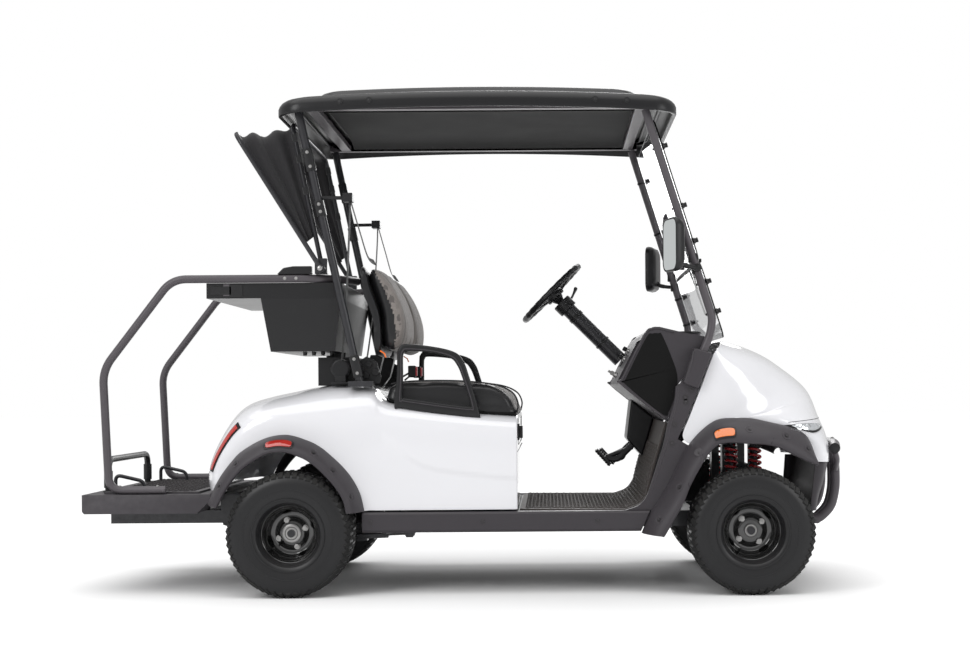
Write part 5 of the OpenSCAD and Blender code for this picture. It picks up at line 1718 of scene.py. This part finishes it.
ARM_OUT = [(375, 688.3), (384, 800), (387, 880), (392, 903), (417, 920), (513, 911), (593, 892),
           (627, 863), (649, 807), (689, 664), (679, 647), (593, 654.3), (480, 669.3), (396, 684)]
ARM_IN = [(405, 728), (408, 800), (408, 868), (412, 886), (428, 894), (519, 886), (582, 867),
          (606, 842), (624, 800), (655, 700), (641, 690), (560, 700), (440, 718), (414, 722)]


def seat():
    bottom = [(824, 655), (705, 661), (591, 673), (478, 687), (387, 700), (342, 714)]
    top = [(334, 742), (350, 764), (430, 772), (540, 774), (640, 770), (740, 757), (792, 732), (818, 700)]
    profile = curve(bottom + top, 110, closed=True)

    def free(co):
        z = co.z * 1000
        x = co.x * 1000 + AXLE_TO_MIDDLE
        floor_line = lookup(x, [(338, 712), (387, 698), (478, 685), (591, 671), (705, 659), (824, 653)])
        return smooth_step((z - floor_line - 4) / 28)

    cushion = stuffed("seat_cushion_pad", crowned(profile, (580, 702), -434, 434, 14, 44, (0.55, 0.8)),
                      8.0, 3.5, 11, free)

    def pick(c, n):
        return 0 if abs(c[1]) < 396 and (n.z > 0.15 or (n.x > 0.35 and c[0] > 700)) else 1

    two_tone(cushion, (M_TOP_CLOTH, M_VINYL), pick)
    dressed(cushion, "seat", 180, ("seat_cushion",), subdivide=1)
    piping = Shape()
    for side in (1, -1):
        edge = curve([(824, side * 400, 662), (829, side * 400, 700), (806, side * 400, 741),
                      (744, side * 400, 768), (640, side * 400, 781), (540, side * 400, 785),
                      (430, side * 400, 783), (356, side * 400, 774)], 80)
        piping.add(tube(edge, 3.2, 10))
    made("cushion_piping", piping, M_VINYL, "seat")
    base = Shape().add(plate([(822, 655), (705, 660.4), (591, 672.4), (478, 686.4),
                              (387, 699.4), (342, 712),
                              (342, 718), (387, 708), (478, 695), (591, 681), (705, 669),
                              (822, 664)], -432, 432))
    made("cushion_base_board", base, M_DARK, "seat")

    back = [(345, 890), (380, 893), (399, 912), (406, 960), (400, 1030), (367, 1118),
            (318, 1192), (290, 1214),
            (272, 1206), (286, 1150), (320, 1040), (330, 950)]
    back_profile = curve(back, 90, closed=True)
    for side, label in ((1, "left"), (-1, "right")):
        y0, y1 = sorted((side * 24, side * 436))
        middle_z = 1050
        pad = stuffed("seat_back_pad_" + label, crowned(back_profile, (352, middle_z), y0, y1, 4.5,
                                                        44, (0.8, 0.55)),
                      6.6, 4.0, 12)

        def pick_back(c, n, centre=(y0 + y1) / 2):
            off = abs(c[1] - centre)
            line = lookup(c[2], [(890, 372), (960, 382), (1030, 376), (1120, 342), (1200, 300)])
            return 0 if c[0] > line - 4 or (off < 150 and n.x > -0.1) else 1

        two_tone(pad, (M_SEAT, M_VINYL), pick_back)
        dressed(pad, "chassis", 180, (), subdivide=1)
        if side == 1:
            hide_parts("seat_backs")
    shells = Shape()
    shell_profile = curve([(300, 884), (324, 886), (325, 950), (315, 1040), (281, 1150),
                           (266, 1208), (247, 1212),
                           (254, 1140), (288, 1030), (300, 950)], 70, closed=True)
    for side in (1, -1):
        y0, y1 = sorted((side * 18, side * 442))
        shells.add(crowned(shell_profile, (296, 1050), y0, y1, 5, 36, (0.25, 0.5)))
    shells.both(plate([(262, 886), (310, 886), (290, 806), (262, 768.5), (214, 768.5),
                       (236, 830)], 182, 238))
    made("seat_back_shells", shells, M_BLACK, replaces=("seat_back_shell",),
         bevel=(2.5, 3),
         crease=45)
    outer = curve(ARM_OUT, 150, closed=True)
    inner = curve(ARM_IN, 150, closed=True)
    loop, sides = [], 28
    for (x0, z0), (x1, z1) in zip(outer, inner):
        for k in range(sides):
            a = math.tau * k / sides
            c = math.copysign(abs(math.cos(a)) ** 0.6, math.cos(a))
            s = math.copysign(abs(math.sin(a)) ** 0.6, math.sin(a))
            loop.append(((x0 + x1) / 2 + (x0 - x1) / 2 * c, 466 + 13 * s,
                         (z0 + z1) / 2 + (z0 - z1) / 2 * c))
    n = len(outer)
    faces = [[i * sides + k, i * sides + (k + 1) % sides, (i + 1) % n * sides + (k + 1) % sides,
              (i + 1) % n * sides + k] for i in range(n) for k in range(sides)]
    made("armrest_loops", Shape().both((loop, faces)), M_BLACK, replaces=("armrests",),
         crease=70)
    bead = Shape().both(tube([((3 * x0 + 7 * x1) / 10, 479.4, (3 * z0 + 7 * z1) / 10)
                              for (x0, z0), (x1, z1) in zip(outer, inner)], 2.2, 10, closed=True))
    made("armrest_beads", bead, M_CHARCOAL)


def belts():
    reels, straps, stalks, buckles, red, tags, metal = (Shape() for _ in range(7))
    for side in (1, -1):
        y = side * 372
        reels.add(lathe([(-17, 0.01), (-17, 30), (-13, 36), (13, 36), (17, 30), (17, 0.01)],
                        (165, y, 832), "Y", 40))
        reels.add(block((132, y - 24, 776), (204, y + 24, 782)))
        reels.add(block((146, y - 20, 782), (186, y + 20, 806)))
        metal.add(plate([(214, 776), (312, 776), (317, 800), (300, 858), (262, 878),
                         (232, 858)], y - 4, y + 4))
        for x, z, r in ((238, 832, 17), (272, 848, 12), (296, 818, 14), (262, 806, 12)):
            metal.add(lathe([(-15, 0.01), (-15, r - 1.5), (-13.5, r), (13.5, r), (15, r - 1.5), (15, 0.01)],
                            (x, y, z), "Y", 28))
        strap = curve([(170, y, 866), (182, side * 396, 960), (196, side * 426, 1100),
                       (205, side * 438, 1250),
                       (212, side * 446, 1380), (214, side * 448, 1450)], 60)
        straps.add(tube(strap, 1, 12, flat=(23, 0.9)))
        metal.add(tube([(102, side * 462, 1462), (196, side * 452, 1462)], 7, 16))
        reels.add(block((190, side * 452 - 26, 1446), (226, side * 452 + 26, 1478)))
        straps.add(tube(curve([(218, side * 448, 1446), (248, side * 440, 1340), (276, side * 424, 1246),
                               (300, side * 400, 1226)], 40), 1, 12, flat=(21, 0.9)))
        stalks.add(tube(curve([(358, side * 116, 791), (374, side * 115, 804),
                               (398, side * 112, 818)], 12), 1, 10,
                        flat=(14, 3)))
        buckles.add(block((394, side * 112 - 17, 800), (424, side * 112 + 17, 846)))
        red.add(block((423, side * 112 - 14, 806), (429, side * 112 + 14, 842)))
        tags.add(tube([(322, side * 446, 896), (338, side * 447, 886), (343, side * 446, 872)], 1, 14,
                      flat=(12, 2.5)))
    made("belt_reels", reels, M_BLACK, bevel=(2, 3))
    made("belt_webbing", straps, M_WEBBING)
    made("belt_brackets", metal, M_BLACK, bevel=(1, 2))
    made("belt_stalks", stalks, M_WEBBING, "seat")
    made("belt_buckles", buckles, M_BLACK, "seat", bevel=(4, 4))
    made("belt_buckle_buttons", red, M_BUCKLE, "seat", bevel=(1.5, 3))
    made("belt_tags", tags, M_ORANGE, bevel=(0.8, 2))


# ------------------------------------------------------------------ basket and rain cover


def basket():
    from_cad("basket_tub", "basket", M_BLACK, (6.0, 4), crease=30)
    bits = Shape()
    for side in (1, -1):
        for k in range(4):
            bits.add(tube([(20 + 34 * k, side * 300, 897), (20 + 34 * k, side * 300, 884)], [9, 7], 16))
        bits.add(block((-310, side * 427, 1108), (-232, side * 424, 1140)))
        bits.add(block((-240, side * 427, 1100), (-190, side * 423.8, 1148)))
    made("basket_fittings", bits, M_BLACK, bevel=(1.0, 2))
    plates = Shape().both(block((-262, 424.6, 1104), (-206, 426.6, 1148)))
    made("basket_plates", plates, M_GREY_TUBE, bevel=(0.8, 2))
    rim = Shape()
    half = 424.5
    rim.add(tube([(-325, -half + 4, 1150.5), (170, -half + 4, 1150.5)], 1.5, 8))
    rim.add(tube([(-325, half - 4, 1150.5), (170, half - 4, 1150.5)], 1.5, 8))
    made("basket_rim", rim, M_CHARCOAL)


PIVOT = (107, 0, 1200)
HOOP_HALF = BODY_HALF - 40
FRONT_HALF = HOOP_HALF - 40
HOOP_RADIUS, HOOP_CORNER = 9, 60
FRONT_ANGLE, FRONT_START, FRONT_REACH = 101.5, 40, 556
REAR_ANGLE, REAR_START, REAR_REACH = 122, 14, 598


def hoop_dir(angle):
    return (math.cos(math.radians(angle)), 0, math.sin(math.radians(angle)))


def hoop_path(half, angle, start, reach, steps):
    d = hoop_dir(angle)
    left, right = plus(PIVOT, (0, half, 0)), plus(PIVOT, (0, -half, 0))
    return rounded([plus(left, d, start), plus(left, d, reach), plus(right, d, reach),
                    plus(right, d, start)],
                   HOOP_CORNER, steps)


def hoops():
    rear = Shape().add(tube(hoop_path(HOOP_HALF, REAR_ANGLE, REAR_START, REAR_REACH, 12), HOOP_RADIUS, 20))
    for side in (1, -1):
        rear.add(lathe([(-14, 6.2), (-14, 15), (-12.5, 16), (12.5, 16), (14, 15), (14, 6.2)],
                       (PIVOT[0], side * HOOP_HALF, PIVOT[2]), "Y", 36))
    made("rear_hoop_tube", rear, M_FRAME, "cover_hoop", replaces=("rear_hoop",))
    front_path = hoop_path(FRONT_HALF, FRONT_ANGLE, FRONT_START, FRONT_REACH, 12)
    front = Shape().add(tube(front_path, HOOP_RADIUS, 20))
    for side in (1, -1):
        front.add(tube([plus(PIVOT, (0, side * (HOOP_HALF - 34), 0)),
                        plus(PIVOT, (0, side * (HOOP_HALF + 26), 0))],
                       6, 20))
        y0, y1 = sorted((side * (HOOP_HALF - 49), side * (HOOP_HALF - 14.4)))
        front.add(block((PIVOT[0] - 26, y0, 1182.4), (PIVOT[0] + 20, y1, 1240.4)))
    made("front_hoop_tube", front, M_FRAME, replaces=("front_hoop",), bevel=(2, 2))
    feet = Shape().both(plate([(70, 1182.4), (-60, 1182.4), (-36, 1206), (0, 1212), (70, 1212)], 417, 444))
    made("hoop_feet", feet, M_BLACK, bevel=(4, 3))
    caps = Shape()
    for side in (1, -1):
        caps.add(lathe([(0, 0.01), (0, 10), (4, 9), (6, 4), (6.4, 0.01)],
                       plus(PIVOT, (0, side * (HOOP_HALF + 26), 0)), "Y", 28, side))
    made("hoop_pivot_caps", caps, M_ZINC)


def cover_fabric():
    """Pleated fan of nylon between the two hoops, up one side, across and down the other."""
    rng = random.Random(11)
    front_d, rear_d = hoop_dir(FRONT_ANGLE), hoop_dir(REAR_ANGLE)
    front_edge, rear_edge = 130, 110

    def station(s):
        """Front and rear hoop points at share s of the way round."""
        def walk(half, angle, start, reach):
            path = hoop_path(half, angle, start, reach, 8)
            lengths = [0.0]
            for a, b in zip(path, path[1:]):
                lengths.append(lengths[-1] + math.dist(a, b))
            target = s * lengths[-1]
            for i in range(len(path) - 1):
                if target <= lengths[i + 1] + 1e-9:
                    k = (target - lengths[i]) / (lengths[i + 1] - lengths[i])
                    return tuple(p + (q - p) * k for p, q in zip(path[i], path[i + 1]))
            return path[-1]
        return (walk(FRONT_HALF, FRONT_ANGLE, front_edge, FRONT_REACH),
                walk(HOOP_HALF, REAR_ANGLE, rear_edge, REAR_REACH))

    around, across = 150, 60
    pleats = 5
    phase = [rng.uniform(-0.25, 0.25) for _ in range(pleats + 2)]
    grid = []
    for i in range(around + 1):
        s = i / around
        a, b = station(s)
        width = math.dist(a, b)
        along = unit(minus(b, a))
        middle = tuple((p + q) / 2 for p, q in zip(a, b))
        inward = unit(minus((PIVOT[0], 0, 1450), middle))
        inward = unit(plus(inward, along, -sum(p * q for p, q in zip(inward, along))))
        row = []
        for j in range(across + 1):
            w = j / across
            shift = phase[min(int(w * pleats), pleats)] * math.sin(math.pi * w)
            wave = math.sin(math.pi * pleats * w + shift + 0.5 * math.sin(5.1 * s + 2 * w))
            depth = (8 + 17 * min(1, width / 200)) * (0.5 + 0.5 * wave) * math.sin(math.pi * w) ** 0.35
            sag = 10 * math.sin(math.pi * w) * math.sin(math.pi * s)
            wrinkle = 1.6 * math.sin(41 * s + 9 * w) * math.sin(math.pi * w) + 1.1 * math.sin(23 * w - 17 * s)
            p = tuple(q + (r - q) * w for q, r in zip(a, b))
            tuck = 10.5 if w in (0.0, 1.0) else 8.0 * abs(2 * w - 1) ** 6
            row.append(plus(p, inward, depth + sag + wrinkle - tuck))
        grid.append(row)
    mesh_parts = open_grid(grid)
    piece = made("rain_cover", mesh_parts, M_COVER, None, crease=180, recalculate=True)
    piece.data.materials[0] = M_COVER
    solid = piece.modifiers.new("Thickness", "SOLIDIFY")
    solid.thickness = 0.0012
    width = sum(math.dist(grid[i][across // 2], grid[i + 1][across // 2]) for i in range(around)) / 1000
    start, end = plus(PIVOT, front_d, 360), plus(PIVOT, rear_d, 360)
    at(start)
    at(end)
    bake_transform(piece)
    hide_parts("cover_fabric")
    strap = Shape()
    for side in (1, -1):
        for reach in (300, 420, 500):
            p = plus(plus(PIVOT, (0, side * FRONT_HALF, 0)), front_d, reach)
            strap.add(tube([plus(p, front_d, -14), plus(p, front_d, 14)], 1, 20, flat=(10.6, 10.6)))
    made("cover_straps", strap, M_WEBBING)


# ------------------------------------------------------------------ small fittings


def lamps_and_trim():
    slot_piece, lens = Shape(), Shape()
    slot_piece.both(skin(loft_grid(TAIL_LINE, TAIL_EDGE, TAIL_POWERS, 0.735, 0.865, 0.59, 0.67, 30,
                                   8), -WALL - 3.0,
                         -WALL - 0.3))
    lens.both(skin(loft_grid(TAIL_LINE, TAIL_EDGE, TAIL_POWERS, 0.742, 0.858, 0.605, 0.655, 30,
                             6), -WALL - 6.0,
                   -WALL - 3.2))
    made("tail_light_housings", slot_piece, M_BLACK, bevel=(1.2, 2))
    made("tail_light_lenses", lens, M_RED_LENS, replaces=("tail_lights",), bevel=(1.5, 3))
    switch = Shape().add(block((827.4, -402, 560), (834, -352, 622)))
    switch.add(block((834, -394, 568), (846, -360, 614)))
    made("charge_port", switch, M_BLACK, bevel=(2.5, 3))
    gap = Shape()
    gap.add(tube([(827.8, -470, 520), (827.8, 470, 520)], 1.0, 8))
    gap.add(tube(rounded([(827.8, -320, 640), (827.8, -320, 540), (827.8, 320, 540),
                          (827.8, 320, 640)], 30), 1.0, 8))
    made("seat_base_seams", gap, M_DARK)
    spots = []
    for x in (160, 210):
        for s in (1, -1):
            spots.append(((x, s * 300, 775.2), (0, 0, 1)))
    grown("body_screws", SCREWS, spots, M_ZINC, "chassis",
          {"Head radius": 0.006, "Head height": 0.004, "Sides": 6, "Washer": 1.5})
    seam_points, edges = [], []
    for side in (1, -1):
        line = curve([(812, side * 392, 734), (744, side * 392, 769), (640, side * 392, 783),
                      (540, side * 392, 787),
                      (430, side * 392, 785), (360, side * 392, 776)], 60)
        base = len(seam_points)
        seam_points += [(p, (0, 0, 1)) for p in line]
        edges += [(base + i, base + i + 1) for i in range(60)]
    grown("cushion_stitches", STITCHES, seam_points, M_TOP_CLOTH, "seat",
          {"Pitch": 0.008, "Stitch": 0.005, "Thread radius": 0.0006}, edges)


# ------------------------------------------------------------------ stage


def stage():
    mesh = bpy.data.meshes.new("floor")
    reach = 40
    mesh.from_pydata([(-reach, -reach, 0), (reach, -reach, 0), (reach, reach, 0), (-reach, reach, 0)], [],
                     [[0, 1, 2, 3]])
    backdrop = bpy.data.objects.new("floor", mesh)
    SCENE.collection.objects.link(backdrop)
    material = bpy.data.materials.new("pale floor")
    material.use_nodes = True
    shader = material.node_tree.nodes["Principled BSDF"]
    shader.inputs["Base Color"].default_value = (0.88, 0.88, 0.88, 1)
    shader.inputs["Roughness"].default_value = 0.9
    shader.inputs["Specular IOR Level"].default_value = 0.0
    mesh.materials.append(material)
    world = bpy.data.worlds.new("studio")
    world.use_nodes = True
    tree = world.node_tree
    sky, screen = tree.nodes["Background"], tree.nodes.new("ShaderNodeBackground")
    sky.inputs["Color"].default_value = (1, 1, 1, 1)
    sky.inputs["Strength"].default_value = 0.62
    screen.inputs["Color"].default_value = (1, 1, 1, 1)
    screen.inputs["Strength"].default_value = 1.0
    path, choose = tree.nodes.new("ShaderNodeLightPath"), tree.nodes.new("ShaderNodeMixShader")
    link(tree, path.outputs["Is Camera Ray"], choose.inputs[0])
    link(tree, sky.outputs[0], choose.inputs[1])
    link(tree, screen.outputs[0], choose.inputs[2])
    link(tree, choose.outputs[0], tree.nodes["World Output"].inputs["Surface"])
    SCENE.world = world
    sun = bpy.data.lights.new("sky glow", "SUN")
    sun.energy = 1.7
    sun.angle = math.radians(70)
    overhead = bpy.data.objects.new("sky glow", sun)
    overhead.rotation_euler = (math.radians(8), math.radians(-6), 0)
    SCENE.collection.objects.link(overhead)
    for name, where, size, power in (("key", (-3.4, -4.4, 3.4), 2.4, 90),
                                     ("fill", (4.2, -3.4, 2.2), 2.2, 45),
                                     ("back", (0.6, 4.8, 3.0), 3.6, 110)):
        lamp = bpy.data.lights.new(name, "AREA")
        lamp.shape = "DISK"
        lamp.size = size
        lamp.energy = power
        holder = bpy.data.objects.new(name, lamp)
        holder.location = where
        holder.rotation_euler = (Vector((0, 0, 0.8)) - Vector(where)).to_track_quat("-Z", "Y").to_euler()
        SCENE.collection.objects.link(holder)
    camera = bpy.data.cameras.new("camera")
    camera.lens = 55.9
    camera.sensor_width = 36
    camera.shift_x, camera.shift_y = -0.067, 0.0696
    view = bpy.data.objects.new("camera", camera)
    view.location = (0.306, -6.02, 0.743)
    view.rotation_euler = (math.radians(90), math.radians(0.4), 0)
    SCENE.collection.objects.link(view)
    SCENE.camera = view
    SCENE.view_settings.view_transform = "Standard"


stage()
rear_body()
front_cowl()
headlights()
front_bumper()
flares()
legs()
rockers()
floor()
bag_deck()
bag_rails()
for corner, x, side in (("front_left", FRONT_AXLE, 1), ("front_right", FRONT_AXLE, -1), ("rear_left", 0, 1),
                        ("rear_right", 0, -1)):
    wheel(corner, x, side, corner.startswith("rear"))
running_gear()
brush_guard()
dash()
steering()
pedals()
windscreen()
mirrors()
roof()
rear_struts()
hoops()
basket()
cover_fabric()
seat()
belts()
lamps_and_trim()
